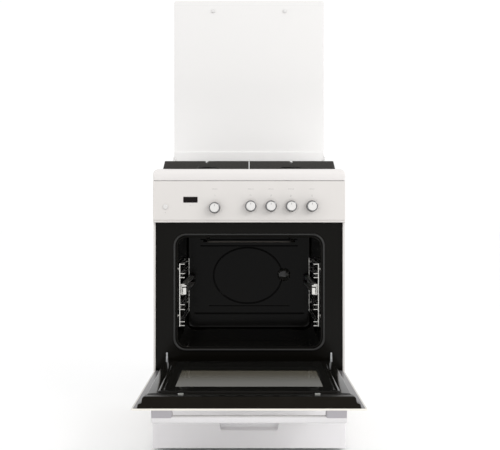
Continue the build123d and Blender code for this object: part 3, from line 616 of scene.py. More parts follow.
def makeFrontFrame():
    # a plate between its square outer edge and the rounded mouth, with a smooth raised rim round the mouth
    low, high = span("front_frame")
    back = high[1]
    face = back - casing["sheet"]

    def opening(grow, depth):
        half = mouth["half"] + grow
        flat = rectangle(-half, half, mouth["low"] - grow, mouth["high"] + grow, mouth["corner"] + grow, 10)
        return lift(flat, "y", depth)

    def edge(inset, depth):
        flat = rectangle(low[0] + inset, high[0] - inset, low[2] + inset, high[2] - inset, 0.8, 10)
        return lift(flat, "y", depth)

    rim = [(7, 0), (5.5, -0.4), (4.4, -1.5), (3.4, -2.3), (2.2, -2.5), (1.0, -2.2), (0.2, -1.4), (0, 0)]
    loops = [edge(0, back), edge(0, face + 0.3), edge(0.3, face), edge(1.6, face), opening(8.6, face)]
    loops += [opening(g, face + d) for g, d in rim] + [opening(0, back)]
    piece("frontPlate", [loft(loops, "ring")], "range", "black_enamel", "front_frame", sharp=50)
    seal = [(6.2, -0.3), (6.6, -2.6), (8.0, -4.6), (10, -5.3), (12, -4.6), (13.4, -2.6), (13.8, -0.3)]
    piece("doorSealRing", [loft([opening(g, face + d) for g, d in seal], "ring")], "range", "seal_rubber",
          "door_seal", sharp=60)
    # the slots that the hinge arms come through, with a turned-in lip
    slots = []
    for x in (-hinge["slotX"], hinge["slotX"]):
        loops = []
        for g, depth in ((9.5, 0.2), (9.5, -0.7), (7.5, -0.7), (7.5, 0.2)):
            flat = rectangle(x - g, x + g, hinge["slotLow"] - g, hinge["slotHigh"] + g, 3, 4)
            loops.append(lift(flat, "y", face + depth))
        slots.append(loft(loops, "ring"))
    piece("hingeSlotLips", slots, "range", "black_enamel", bevel=0.2)
    # steel link arms that stand in the slots, each with three rivets
    x, foot, head = hinge["armX"], hinge["armFoot"], hinge["armHead"]
    arm = outline([(x - 3.5, foot), (x + 3.5, foot), (x + 2.5, head), (x - 2.5, head)], [2.5, 2.5, 2.4, 2.4],
                  5)
    shapes = [prism(arm, "y", 21.6, 24.8)]
    for z, r in hinge["rivets"]:
        rivet = [(0, 22), (r, 22), (r, 21.2), (r * 0.6, 20.7), (0, 20.6)]
        shapes.append(lathe(rivet, (x, 0, z), "y", 20))
    piece("hingeLinkArms", sided(shapes, -1) + shapes, "range", "galvanised", bevel=0.3)


def makeFeet():
    # each foot is turned: a broad pad with a soft lower edge, a collar and a stem
    low, high = span("levelling_feet")
    r = casing["footRadius"]
    pad = [(0, 0), (16.5, 0), (17.6, 0.6), (18, 1.6), (18, 6), (17, 7.4), (14, 8), (8.6, 8.2), (8.2, 12),
           (5, 12.2), (5, 27.5), (4.4, 28), (0, 28)]
    feet = [lathe(pad, (x, y, 0), "z", 36) for x in (low[0] + r, high[0] - r) for y in (low[1] + r,
                                                                                        high[1] - r)]
    piece("levellingFeetTurned", feet, "range", "black_feet", "levelling_feet")


burnerPlaces = [(-134, 170), (134, 170), (-134, 425), (134, 425)]
burnerRadii = [38, 48, 38, 28]
support = {"front": 46.0, "back": 548.0, "swell": 0.9, "bar": 10, "finger": 9, "tip": 12, "slit": 32,
           "slitDrop": 22, "slitTall": 3.2, "voxel": 1.9}


def makeBurners():
    # cups and crowns are turned; a crown's radius dips at each flame slot, and its cap is a low dome
    wellTop = span("burner_cups")[0][2] + 16
    cups, crowns, caps, sparks = [], [], [], []
    for (x, y), r in zip(burnerPlaces, burnerRadii):
        cups.append(lathe([(0, -13), (23, -13), (23, 0), (r + 6.6, 0), (r + 7, 0.5), (r + 6.6, 2.6),
                           (r + 4, 4),
                           (r - 2, 4), (r - 4, 2.4), (19, 1.6), (18, -9), (0, -9)], (x, y, wellTop), "z", 64))
        count = max(16, int(r * 0.6))

        def slots(angle, height, count=count):
            wave = np.cos(angle * count)
            return -3.2 * rise(wave, 0.55, 0.8) * ((height > 5) & (height < 13))

        crowns.append(lathe([(0, 4.2), (r - 5, 4.2), (r - 0.6, 4.4), (r, 5.2), (r, 6), (r, 12), (r, 13),
                             (r - 0.8, 14.6), (r - 3, 15), (0, 15)], (x, y, wellTop), "z", count * 12, slots))
        top = r + 2.0
        dome = [(top - 4 * (1 - math.cos(t)), 17.4 + 2.4 * math.sin(t)) for t in np.linspace(0, math.pi / 2,
                                                                                             7)]
        caps.append(lathe([(0, 15.05), (top - 1.2, 15.05), (top, 15.8)] + dome +
                          [(top * 0.55, 20.0), (top * 0.5, 19.5), (0, 19.5)], (x, y, wellTop), "z", 64))
        sx = x + r + 3.6
        sparks.append(lathe([(0, 0), (1.8, 0), (1.8, 8), (1.3, 9.4), (0.7, 9.6), (0.7, 11.6), (0, 12)],
                            (sx, y, wellTop), "z", 16))
    piece("burnerCupsTurned", cups, "range", "burner_aluminium", "burner_cups")
    piece("burnerCrownsSlotted", crowns, "range", "burner_aluminium", "burner_crowns", sharp=50)
    piece("burnerCapsDomed", caps, "range", "black_enamel", "burner_caps", sharp=50)
    piece("sparkTips", sparks, "range", "electrode_ceramic", "ignition_electrodes")


def makeSupports():
    # cast bars that meet in one skin: straight prisms, remade as a fine even mesh, slit and relaxed
    low, high = span("pan_support_right")
    x0, x1 = low[0] - support["swell"], high[0] + support["swell"]
    y0, y1, top = support["front"], support["back"], high[2]
    foot, base, bar = low[2], low[2] + 4, support["bar"]
    bottom = top - support["finger"]
    middle = (y0 + y1) / 2
    lean = (top - base) * 0.25
    bx, tip, slit = burnerPlaces[1][0], support["tip"], support["slit"]
    slitLow = top - support["slitDrop"]
    # three bars across, each with a notch over the burners and a slit below it, and one along each side
    notch = [(bx + 4, top), (bx + 2.5, bottom - 2), (bx - 2.5, bottom - 2), (bx - 4, top)]
    across = np.array([(x0, base), (x1, base), (x1 - lean, top), *notch, (x0, top)])
    starts = (y0, middle - bar / 2, y1 - bar)
    bars = [prism(across, "y", y, y + bar) for y in starts]
    cutters = [brick(bx - slit, bx + slit, y - 1, y + bar + 1, slitLow, slitLow + support["slitTall"])
               for y in starts]
    bars.append(brick(x0, x0 + bar, y0, y1, base, top, 1))
    side = np.array([(x1 - bar, base), (x1, base), (x1 - lean, top), (x1 - bar, top)])
    bars.append(prism(side, "y", y0, y1))
    # four fingers point at each burner
    for y, near, far in ((burnerPlaces[0][1], y0, middle), (burnerPlaces[2][1], middle, y1)):
        inward = np.array([(x0, bottom), (bx - tip, bottom + 2), (bx - tip, top), (x0, top)])
        bars.append(prism(inward, "y", y - 4, y + 4))
        outward = np.array([(bx + tip, bottom + 2), (x1 - lean * 0.4, bottom), (x1 - lean, top),
                            (bx + tip, top)])
        bars.append(prism(outward, "y", y - 4, y + 4))
        for start, end, way in ((near, y - tip, 1), (far, y + tip, -1)):
            up = start + way * (bar + 26)
            profile = np.array([(start, bottom - 4), (end - way * 56, bottom - 4), (end - way * 50, bottom),
                                (end, bottom), (end, top), (up, top), (start + way * 2, bottom + 1),
                                (start, bottom + 1)])
            bars.append(prism(profile, "x", bx - 4, bx + 4))
    pad = [(0, foot), (4, foot), (4.8, foot + 0.8), (5, base + 3), (0, base + 3)]
    bars += [lathe(pad, (x, y, 0), "z", 20) for x in (x0 + 8, x1 - 8) for y in (y0 + 6, middle, y1 - 6)]
    for label, way in (("Right", 1), ("Left", -1)):
        made = piece("panSupport" + label, sided(bars, way), "range", "cast_iron",
                     "pan_support_" + label.lower(), sharp=80)
        cutter = addObject("slits", makeMesh("slits", sided(cutters, way), 40))
        work = [("REMESH", {"mode": "VOXEL", "voxel_size": support["voxel"] * mm, "use_smooth_shade": True}),
                ("BOOLEAN", {"operation": "DIFFERENCE", "object": cutter, "solver": "FAST"}),
                ("SMOOTH", {"factor": 0.5, "iterations": 2})]
        for kind, settings in work:
            step = made.modifiers.new(kind, kind)
            for key, value in settings.items():
                setattr(step, key, value)
        shaped = bpy.data.meshes.new_from_object(made.evaluated_get(bpy.context.evaluated_depsgraph_get()))
        shaped.polygons.foreach_set("use_smooth", np.ones(len(shaped.polygons), bool))
        made.modifiers.clear()
        made.data = shaped
        bpy.data.objects.remove(cutter)
        print("pan support", label, len(shaped.polygons), "faces")


controls = {"edge": 3.0, "groove": 717.0, "ringOuter": 17.6, "ringInner": 14.0, "buttonX": -261,
            "buttonZ": 759,
            "symbolZ": 814.5, "dotsZ": 794, "dialRadius": 23.5}
knobNodes = ["oven", "front_left", "rear_left", "rear_right", "front_right"]


def makePanel():
    # the panel's face: rounded edges, a bead line near its foot, a shallow dish round each control
    low, high = span("control_panel")
    box = (low[0], high[0], low[2], high[2])
    dishes = [(controls["buttonX"], controls["buttonZ"], 10.5)]
    for label in knobNodes:
        x, _, z = centre("knob_" + label)
        dishes.append((x, z, 21.0))
    dl, dh = span("display_window")

    def front(x, z):
        y = low[1] + edgeFall(x, z, box, controls["edge"])
        y = y + 2.2 * np.exp(-((z - controls["groove"]) / 0.6) ** 2)
        for cx, cz, r in dishes:
            y = y + 0.5 * (1 - rise(np.hypot(x - cx, z - cz), r, r + 2.4))
        inside = rise(x, dl[0] - 1.6, dl[0] - 0.8) * (1 - rise(x, dh[0] + 0.8, dh[0] + 1.6))
        inside = inside * rise(z, dl[2] - 1.6, dl[2] - 0.8) * (1 - rise(z, dh[2] + 0.8, dh[2] + 1.6))
        return y + 1.0 * inside

    marksX = [dl[0] - 1.2, dh[0] + 1.2, low[0] + 1.2, high[0] - 1.2]
    marksZ = [dl[2] - 1.2, dh[2] + 1.2, controls["groove"], low[2] + 1.2, high[2] - 1.2]
    xs = graded(low[0], high[0], 2.6, marksX, 1.6, 9)
    zs = graded(low[2], high[2], 1.8, marksZ, 1.6, 9)
    piece("controlPanelPressing", [pressed(xs, zs, front, high[1])], "range", "white_enamel", "control_panel",
          sharp=70)
    # black window with a bevelled edge, standing in its recess
    steps = [(0.6, 1.2), (0.2, 0.4), (0.0, 0.1), (-0.5, -0.3), (-3, -0.3)]
    loops = [lift(rectangle(dl[0] - g, dh[0] + g, dl[2] - g, dh[2] + g, 1.6, 5), "y", d) for g, d in steps]
    piece("displayPane", [loft(loops)], "range", "display_glass", "display_window")


def makeMarks():
    # small plain prints: a row of dashes and four dots above each knob, and dots round it for its settings
    marks = []

    def dot(x, z, r):
        marks.append(lathe([(0, 0.3), (r, 0.3), (r, -0.02), (0, -0.02)], (x, 0, z), "y", 14))

    def dash(x, z, w, h):
        marks.append(brick(x - w, x + w, -0.02, 0.3, z - h, z + h, 0.1))

    for index, label in enumerate(knobNodes):
        x, _, z = centre("knob_" + label)
        for k in range(5):
            dash(x - 7.2 + 3.6 * k, controls["symbolZ"], 1.3, 0.55 if (k + index) % 2 else 0.4)
        for k in range(4):
            across, up = 1.6 * (2 * (k % 2) - 1), 1.6 if k < 2 else -1.6
            dot(x + across, controls["dotsZ"] + up, 1.1 if k + 1 == index else 0.6)
        for angle in np.radians([40, 75, 110, 145, 180, 215, 250]):
            r = controls["dialRadius"]
            dot(x + r * math.sin(angle), z + r * math.cos(angle), 0.55)
    dash(centre("display_window")[0], span("display_window")[0][2] - 9, 1.4, 0.4)
    dash(controls["buttonX"], controls["buttonZ"] - 18, 1.4, 0.4)
    piece("panelMarks", marks, "range", "white_enamel", finish=markFinish)


def makeKnobs():
    # each knob: a turned white body with a dished face, a bright ring round it, and a raised pointer
    inner, outer = controls["ringInner"], controls["ringOuter"]
    for label in knobNodes:
        low, high = span("knob_" + label)
        x, _, z = centre("knob_" + label)
        y0, y1 = low[1], high[1]
        body = [(0, y1), (16.6, y1), (16.8, y1 - 1.4), (15.6, y1 - 2), (inner - 0.3, y1 - 6),
                (inner - 0.2, y0 + 1.8)]
        for t in np.linspace(0, math.pi / 2, 6):
            body.append((inner - 1.8 + 1.6 * math.cos(t), y0 + 1.6 - 1.6 * math.sin(t)))
        body += [(8, y0 + 0.25), (3, y0 + 0.4), (0, y0 + 0.45)]
        ring = [(18, y1 - 0.1), (18, y1 - 1.2), (outer, y1 - 2.2), (outer - 0.3, y0 + 4.4),
                (outer - 0.9, y0 + 2.6),
                (outer - 2.0, y0 + 1.5), (outer - 3.2, y0 + 1.4), (inner + 0.2, y0 + 2.3), (inner, y0 + 3.4),
                (inner, y1 - 6), (16.2, y1 - 1.4), (16.6, y1 - 0.1)]
        dial = "dial_" + label
        name = "".join(word.capitalize() for word in label.split("_"))
        piece("knobBody" + name, [lathe(body, (x, 0, z), "y", 56)], dial, "knob_plastic", "knob_" + label,
              sharp=50)
        piece("knobRing" + name, [lathe(ring, (x, 0, z), "y", 64, ring=True)], dial, "knob_plastic",
              finish=chromeRing, sharp=45)
        pointer = brick(x - 0.7, x + 0.7, y0 + 0.05, y0 + 1.2, z + 4.5, z + 10.6, 0.6)
        piece("knobPointer" + name, [pointer], dial, "knob_plastic", finish=markFinish, bevel=0.2)
    low, high = span("ignition_button")
    x, _, z = centre("ignition_button")
    y0, y1 = low[1], high[1]
    dome = [(0, y1), (11, y1), (11, y1 - 2), (8, y1 - 2.3), (8, y0 + 1.6), (7.4, y0 + 0.7), (6.2, y0 + 0.2),
            (4, y0), (2, y0 + 0.25), (0, y0 + 0.4)]
    piece("sparkButtonCap", [lathe(dome, (x, 0, z), "y", 48)], "spark_button", "button_plastic",
          "ignition_button", sharp=50)


# the lining with the oval and ridges on its walls; the ladders with their rungs and stubs; the burner's ring
oven = {"sheet": 1.2, "corner": 26, "ovalX": -5, "ovalZ": 508, "ovalWide": 127, "ovalTall": 103.5,
        "ridges": ((618, 181, 2.2), (642, 181, 2.2), (395, 150, 1.6)), "ribs": (120, 240, 360)}
rack = {"x": 221.0, "wall": 228.4, "rungs": [381.6, 394, 433, 448, 484, 498, 534.5, 547, 577],
        "stubs": (413.5, 562), "hook": 15}
ringBurner = {"radius": 70, "fromBack": 77, "tube": 7}


def makeCavity():
    # an enamelled box with round corners, inner and outer skin in one, and pressed ridges on its walls
    (x0, y0, z0), (x1, y1, z1) = span("oven_cavity")
    t, corner = oven["sheet"], oven["corner"]
    wall = y1 - t

    def loop(inset, y, grow=0):
        return lift(rectangle(x0 + inset, x1 - inset, z0 + inset, z1 - inset, corner + grow, 10), "y", y)

    loops = [loop(8, y1, -6), loop(1.5, y1 - 0.6), loop(0, y1 - 3, 1), loop(0, y0, 1), loop(t, y0),
             loop(t, wall - 12)]
    for a in np.linspace(0, np.pi / 2, 6)[1:]:
        loops.append(loop(t + 9 * (1 - np.cos(a)), wall - 9 + 9 * np.sin(a) - 0.001, -4 * np.sin(a)))
    parts = [loft(loops)]
    angle = np.linspace(0, 2 * np.pi, 96, endpoint=False)
    oval = np.stack([oven["ovalX"] + oven["ovalWide"] * np.cos(angle), np.full(96, wall),
                     oven["ovalZ"] + oven["ovalTall"] * np.sin(angle)], -1)
    parts.append(tube(oval, 2.9, (0, 1, 0), 12, True))
    for z, half, grow in oven["ridges"]:
        parts.append(tube([(-half, wall, z), (0, wall, z), (half, wall, z)], grow, (0, 1, 0), 12))
    parts.append(brick(-204, 204, wall - 6, wall + 0.4, 364, 370, 1.5))
    for y in oven["ribs"]:
        for side in (-1, 1):
            line = [(side * (x1 - t), y + 4, z) for z in (380, 485, 590)]
            parts.append(tube(line, 1.9, (0, 1, 0), 10))
    piece("ovenLining", parts, "range", "black_enamel", "oven_cavity", sharp=55)
    # lamp: a plain glass dome, a quarter ellipse turned about its axis
    low, high = span("lamp_glass")
    x, _, z = centre("lamp_glass")
    r = (high[0] - low[0]) / 2
    dome = [(r * math.cos(a), high[1] - 3 - 6.8 * math.sin(a)) for a in np.linspace(0, math.pi / 2, 9)]
    piece("lampDome", [lathe([(0, high[1]), (r - 1, high[1])] + dome, (x, 0, z), "y", 48)], "range",
          "lamp_glass",
          "lamp_glass")


def makeRacks():
    # wire ladders: straight uprights with welded rungs, and short stubs with collars on the wall
    rungs = rack["rungs"]
    for label, side in (("left", -1), ("right", 1)):
        low, high = span("shelf_rack_" + label)
        x, wall, tipX = side * rack["x"], side * rack["wall"], side * (rack["x"] - rack["hook"])
        y0, y1 = low[1] + 2.8, high[1] - 2.8
        wires = [tube([(x, y, rungs[0] - 2.4), (x, y, rungs[-1] + 2.4)], 2.8, (0, 1, 0), 14) for y in (y0,
                                                                                                       y1)]
        # each rung's front end turns in towards the middle and ends in a round tip
        tip = [(0, 0), (1.9, 0), (1.7, -side * 0.8), (1.0, -side * 1.5), (0, -side * 1.7)]
        for z in rungs:
            wires.append(tube([(x, y0, z), (x, y1, z)], 2.2, (0, 0, 1)))
            wires.append(tube([(x, y0, z), (tipX, y0, z)], 1.9, (0, 0, 1)))
            wires.append(lathe(tip, (tipX, y0, z), "x", 12))
        collar = [(0, 0), (5, 0), (5, -2.4), (3.6, -4), (2.4, -4.4), (0, -4.4)]
        for z in rack["stubs"]:
            for y in (y0, y1):
                wires.append(tube([(x, y, z), (wall, y, z)], 2.2, (0, 0, 1)))
                wires.append(lathe([(r, side * h) for r, h in collar], (wall, y, z), "x", 20))
        piece("wireLadder" + label.capitalize(), wires, "range", "chrome_wire", "shelf_rack_" + label)


def makeRunners():
    # telescopic runners: a folded channel on the ladder, and a bar with a folded edge that slides in it
    low, high = span("runner_rails")
    outer, inner, z0, z1 = high[0], high[0] - 12, low[2], high[2]
    channel = np.array([(inner, z0), (outer, z0), (outer, z1), (inner, z1), (inner, z1 - 3),
                        (outer - 2, z1 - 3),
                        (outer - 2, z0 + 3), (inner, z0 + 3)])
    rail = prism(channel, "y", low[1], high[1])
    z0, z1 = z0 + 3.6, z1 - 3.6
    for label, side in (("left", -1), ("right", 1)):
        nodes = ["runner_rails"] if side < 0 else []
        piece("runnerChannel" + label.capitalize(), sided([rail], side), "range", "chrome_wire", *nodes,
              bevel=0.6)
        bl, bh = span("runner_slide_" + label)
        inner, outer = sorted((abs(bl[0]), abs(bh[0])))
        bar = np.array([(inner, z0), (outer, z0), (outer, z1), (inner, z1), (inner, z1 - 5),
                        (outer - 2.4, z1 - 5),
                        (outer - 2.4, z0 + 5), (inner, z0 + 5)])
        shapes = [prism(bar, "y", bl[1] + 6, bh[1]),
                  brick(inner, outer - 5, bl[1], bl[1] + 3.2, z0 - 1.6, z0 + 20, 1.2)]
        piece("runnerBar" + label.capitalize(), sided(shapes, side), label + "_runner", "chrome_wire",
              "runner_slide_" + label, bevel=0.6)


def makeHeaters():
    # grill element: a bent rod near the ceiling, with round corners and its open ends at the back wall
    low, high = span("grill_element")
    r = 3.2
    corners = [(low[0] + r, high[1]), (low[0] + r, low[1] + r), (high[0] - r, low[1] + r),
               (high[0] - r, high[1])]
    path = outline(corners, [0, 30, 30, 0], 8)[8:-8]
    rod = tube(lift(path, "z", centre("grill_element")[2]), r, (0, 0, 1), 12)
    piece("grillRod", [rod], "range", "burner_steel", "grill_element", sharp=60)
    # burner: a tube ring with a feed from the front and a row of flame ports
    low, high = span("oven_burner")
    z, y = centre("oven_burner")[2], high[1] - ringBurner["fromBack"]
    radius, thick = ringBurner["radius"], ringBurner["tube"]
    angle = np.linspace(0, 2 * np.pi, 72, endpoint=False)
    ring = np.stack([radius * np.cos(angle), y + radius * np.sin(angle), np.full(72, z)], -1)
    parts = [tube(ring, thick, (0, 0, 1), 16, True),
             tube([(0, low[1], z), (0, y - 66, z)], thick, (0, 0, 1), 16)]
    port = [(0, 5), (1.6, 5), (1.6, 6.9), (1.1, 7), (0, 7)]
    for a in np.linspace(0, 2 * np.pi, 24, endpoint=False):
        parts.append(lathe(port, (radius * math.cos(a), y + radius * math.sin(a), z), "z", 10))
    piece("burnerRingTube", parts, "range", "burner_steel", "oven_burner", sharp=60)


door = {"edge": 1.2, "windowHalf": 195, "windowNear": -156, "windowFar": -357, "trayFar": 261.0, "post": 53.0,
        "bar": 17.0, "clipX": 174, "slotStep": 46}


def makeDoor():
    # outer pane: a rectangle with ground edges
    (x0, y0, z0), (x1, y1, z1) = span("door_outer_glass")

    def pane(inset, z):
        return lift(rectangle(x0 + inset, x1 - inset, y0 + inset, y1 - inset, 4.0, 6), "z", z)

    piece("doorOuterPane", [loft(paneLoops(pane, z0, z1, door["edge"]))], "oven_door", "door_glass_white",
          "door_outer_glass", sharp=50)

    # inner tray: a tapering outline outside, the window inside, with a raised lip that seats the inner pane
    fl, fh = span("door_frame")
    near, far, top = fh[0], door["trayFar"], fh[2]

    def body(inset, z, corner):
        c = [(-near + inset, fh[1] - inset), (near - inset, fh[1] - inset), (far - inset, fl[1] + inset),
             (-far + inset, fl[1] + inset)]
        return lift(outline(c[::-1], [3, 3, corner, corner], 8), "z", z)

    gl, gh = span("door_inner_glass")

    def seat(half, grow, drop, corner, extra=0):
        return lift(rectangle(-half, half, gl[1] - grow - extra, gh[1] + grow, corner, 8), "z", top - drop)

    def window(z):
        w = door["windowHalf"]
        return lift(rectangle(-w, w, door["windowFar"], door["windowNear"], 2, 8), "z", z)

    loops = [body(0, fl[2], 10), body(0, top - 6.5, 10), body(0.6, top - 5, 10), body(2, top - 4.2, 9),
             seat(236, 10, 4.0, 8, 1), seat(234.6, 9, 1, 7, 0.8), seat(233, 8, 0.1, 6),
             seat(224, 1.6, 0.1, 6),
             seat(222.4, 0.4, 0.9, 6), seat(222.4, 0.4, 3.9, 6), window(top - 4.0), window(fl[2] + 0.05)]
    piece("doorTray", [loft(loops, "ring")], "oven_door", "black_enamel", "door_frame", sharp=45)

    glass = [(40, gl[2]), (0.7, gl[2]), (0, gl[2] + 0.6), (0, gh[2] - 0.7), (0.25, gh[2] - 0.2), (0.8, gh[2]),
             (40, gh[2])]
    loops = [lift(rectangle(gl[0] + i, gh[0] - i, gl[1] + i, gh[1] - i, 6, 6), "z", z) for i, z in glass]
    piece("doorInnerPane", [loft(loops)], "oven_door", "door_glass_dark", "door_inner_glass", sharp=50)

    # pale strips on the outer pane beside the tray
    c = [(near + 1.5, fh[1]), (near + 4.5, fh[1]), (far + 4.5, fl[1] + 2), (far + 1.5, fl[1] + 2)]
    strip = [prism(outline(c, 0.4, 2), "z", z1 - 0.2, z1 + 3)]
    piece("doorSideStrips", sided(strip, -1) + strip, "oven_door", "handle_white", finish=stripFinish,
          bevel=0.5)


def makeTrim():
    # the dark profile across the door's free edge: a crowned top, end caps with screws, clips and air slots
    (_, y0, z0), (x1, y1, z1) = span("door_top_trim")
    top = z1 - 5
    # seen from the front it steps in above a low lug at each end
    right = [(x1, z0), (x1 - 2, z0 + 11), (x1 - 11, z0 + 14), (x1 - 14, top)]
    left = [(-x, z) for x, z in right[::-1]]
    face = outline(right + left, [0.5, 3, 2, 7, 7, 2, 3, 0.5], 6)
    stations = [(y0 + 0.1, 1.4), (y0 + 0.5, 0.5), (y0 + 1.4, 0.0), (y1 - 1.4, 0.0), (y1 - 0.4, 0.6),
                (y1, 1.6)]
    middle = np.array([0, (z0 + z1) / 2])
    loops = []
    for y, inset in stations:
        size = np.array([(x1 - inset) / x1, 1 - 2 * inset / (z1 - z0)])
        loops.append(lift(middle + (face - middle) * size, "y", y))
    piece("doorTrimProfile", [loft(loops)], "oven_door", "door_trim", "door_top_trim", sharp=40)
    c = outline([(x1 - 34, z0 + 1), (x1 - 12, z0 + 1), (x1 - 15, top - 0.3), (x1 - 34, top - 0.3)],
                [0.5, 1, 6, 0.5], 6)
    cap = [prism(c, "y", y1 - 0.3, y1 + 1.2)]
    piece("trimEndCaps", sided(cap, -1) + cap, "oven_door", "door_trim", finish=finishes["seal_rubber"],
          bevel=0.4)
    head = [(0, 1), (3.6, 1), (3.6, 1.9), (2.9, 2.5), (1.2, 2.7), (0.9, 2.2), (0, 2.2)]
    screws = [lathe(head, (side * (x1 - dx), y1, z0 + dz), "y", 24)
              for side in (-1, 1) for dx, dz in ((24, 21), (28, 9))]
    clips = [brick(x - 7, x + 7, y1 - 8, y1 - 1, top - 2, z1 - 1, 0.4) for x in (-door["clipX"],
                                                                                 door["clipX"])]
    piece("trimScrewsAndClips", screws + clips, "oven_door", "door_trim", finish=finishes["zinc_screws"],
          bevel=0.3)
    slots = [prism(rectangle(x - 16, x + 16, y0 + 9, y0 + 15, 2.9, 6), "z", top - 3, top + 0.06)
             for x in door["slotStep"] * np.arange(-4, 5)]
    piece("trimAirSlots", slots, "oven_door", "door_trim", finish=finishes["seal_rubber"])


def makeHandle():
    # an arch: a straight bar with soft lower edges, carried by a wide post at each end
    low, high = span("door_handle")
    (x0, y0, z0), (x1, y1, z1) = low, high
    post, bar = door["post"], door["bar"]

    def section(x, inset):
        return lift(rectangle(y0 + inset, y1 - inset, z0 + inset, z0 + bar - inset * 0.4, 6.0 - inset, 6),
                    "x", x)

    def foot(side, z, inset):
        a, b = sorted((side * (x1 - inset - 0.3), side * (x1 - post + inset)))
        return lift(rectangle(a, b, y0 + inset + 0.3, y1 - inset - 0.3, 3.2, 6), "z", z)

    ends = [(0, 4.0), (0.3, 2.6), (1.2, 1.2), (2.6, 0.4), (4.5, 0)]
    loops = [section(x0 + a, i) for a, i in ends] + [section(x1 - a, i) for a, i in ends[::-1]]
    piece("doorHandleArch", [loft(loops)], "oven_door", "handle_white", "door_handle", sharp=50)
    posts = []
    for side in (-1, 1):
        flare = [(z0 + bar - 5, 0.6), (z0 + bar + 1.5, 0.2), (z1 - 2, 0.2), (z1 - 0.6, 0), (z1, 0)]
        posts.append(loft([foot(side, z, i) for z, i in flare]))
    piece("doorHandlePosts", posts, "oven_door", "handle_white", finish=postFinish, sharp=50)


drawer = {"edge": 2.4, "grip": (-94.0, 94.0, 67.0, 99.0), "gripDepth": 17.0}


def makeDrawer():
    low, high = span("drawer_front")
    box = (low[0], high[0], low[2], high[2])
    a, b, c, d = drawer["grip"]

    def front(x, z):
        y = low[1] + edgeFall(x, z, box, drawer["edge"])
        # the grip: a tray with sides that lean in towards its foot, deepest under its upper edge
        lean = (d - z) * 0.16
        inside = rise(x, a + lean, a + 4 + lean) * (1 - rise(x, b - 4 - lean, b - lean))
        inside = inside * rise(z, c, c + 9) * (1 - rise(z, d - 1.2, d))
        y = y + drawer["gripDepth"] * inside
        fold = np.exp(-((np.abs(x) - (high[0] - 19)) / 0.9) ** 2)
        return y + 0.5 * fold

    fold = high[0] - 19
    xs = graded(low[0], high[0], 4.0, [a + 4, b - 4, -fold, fold, low[0] + 1.2, high[0] - 1.2], 3.6, 15)
    zs = graded(low[2], high[2], 4.0, [c + 4, d - 0.6, low[2] + 1.2, high[2] - 1.2], 3.6, 15)
    piece("drawerFrontPressing", [pressed(xs, zs, front, high[1])], "drawer", "white_enamel", "drawer_front",
          finish=paintedLightDrawerFinish, sharp=60)


lid = {"corner": 8.0, "edge": 1.4, "railHalf": 290.0, "pivot": (586, 950), "pinStart": 285, "pinEnd": 297,
       "bumperX": 140}


def makeLid():
    # the lid is a pane with ground edges; its rail is a straight bar with a round pin at each end
    (x0, y0, z0), (x1, y1, z1) = span("lid_glass")

    def pane(inset, y):
        c = [(x0 + inset, z0 + inset), (x1 - inset, z0 + inset), (x1 - inset, z1 - inset),
             (x0 + inset, z1 - inset)]
        return lift(outline(c, [1, 1, lid["corner"], lid["corner"]], 8), "y", y)

    piece("lidPane", [loft(paneLoops(pane, y0, y1, lid["edge"]))], "glass_lid", "lid_glass", "lid_glass",
          sharp=50)
    low, high = span("lid_hinge_rail")
    rail = prism(rectangle(low[1] + 5, high[1], low[2], high[2], 3.0, 6), "x", -lid["railHalf"],
                 lid["railHalf"])
    y, z = lid["pivot"]
    pins = [tube([(side * lid["pinStart"], y, z), (side * lid["pinEnd"], y, z)], 4, (0, 0, 1), 24)
            for side in (-1, 1)]
    piece("lidRailChannel", [rail] + pins, "glass_lid", "lid_metal", "lid_hinge_rail",
          finish=railFinish, bevel=0.8)
    low, high = span("lid_bumpers")
    y0, y1, z = low[1], high[1], centre("lid_bumpers")[2]
    button = [(0, y1 + 0.2), (6.5, y1 + 0.2), (6.5, y0 + 3), (5.9, y0 + 1.2), (4.8, y0 + 0.3), (3, y0),
              (0, y0)]
    bumpers = [lathe(button, (x, 0, z), "y", 32) for x in (-lid["bumperX"], lid["bumperX"])]
    piece("lidBumperButtons", bumpers, "glass_lid", "lid_rubber", "lid_bumpers", sharp=50)


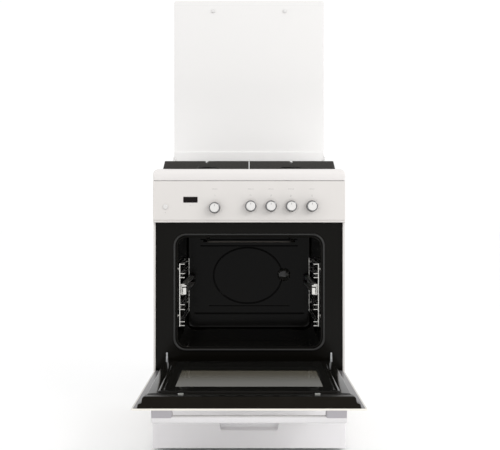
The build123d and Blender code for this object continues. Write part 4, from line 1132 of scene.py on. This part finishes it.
makeSides()
makeWorktop()
makeFrontFrame()
makeFeet()
print("casing done")
makeBurners()
makeSupports()
print("hob done")
makePanel()
makeMarks()
makeKnobs()
print("controls done")
makeCavity()
makeRacks()
makeRunners()
makeHeaters()
print("oven done")
makeDoor()
makeTrim()
makeHandle()
makeDrawer()
makeLid()
print("door, drawer and lid done")


# metres: the lamps' places, sizes and watts, and the point they aim at
studio = {"floor": 30.0, "world": 1.03, "eye": (0.0, -2.396, 0.735), "lens": 53.57, "shift": (0.0018, -0.021),
          "aim": (0, -0.1, 0.6),
          "lamps": {"key": ((2.6, -2.2, 2.4), 1.6, 22), "left": ((-2.8, -1.8, 1.8), 1.6, 4),
                    "front": ((1.7, -3.0, 2.0), 0.5, 12)}}


def makeStudio():
    # a wide pale floor under an even white sky, three soft lamps, and a level camera
    size = studio["floor"]
    mesh = bpy.data.meshes.new("studioFloor")
    mesh.from_pydata([(-size, -size, 0), (size, -size, 0), (size, size, 0), (-size, size, 0)], [],
                     [(0, 1, 2, 3)])
    ground = addObject("studioFloor", mesh)
    s = Shader("paleFloor")
    pale = s.mix(s.noise(3.0), (0.975, 0.975, 0.975), (0.985, 0.985, 0.985))
    mesh.materials.append(s.done({"Base Color": pale, "Roughness": 0.85 + 0.1 * s.noise(40.0)}))
    world = bpy.data.worlds.new("studioWorld")
    bpy.context.scene.world = world
    world.use_nodes = True
    sky = world.node_tree.nodes["Background"]
    sky.inputs[0].default_value = (1, 1, 1, 1)
    sky.inputs[1].default_value = studio["world"]
    for name, (at, size, power) in studio["lamps"].items():
        light = bpy.data.lights.new(name, "AREA")
        light.size = size
        light.energy = power
        stand = addObject(name, light)
        stand.location = at
        stand.rotation_euler = (Vector(studio["aim"]) - Vector(at)).to_track_quat("-Z", "Y").to_euler()
    eye = bpy.data.cameras.new("eye")
    eye.lens = studio["lens"]
    eye.sensor_width = 36
    eye.shift_x, eye.shift_y = studio["shift"]
    camera = addObject("eye", eye)
    camera.location = studio["eye"]
    camera.rotation_euler = (math.radians(90), 0, 0)
    bpy.context.scene.camera = camera
    bpy.context.scene.view_settings.view_transform = "Standard"


makeStudio()
print("studio done")
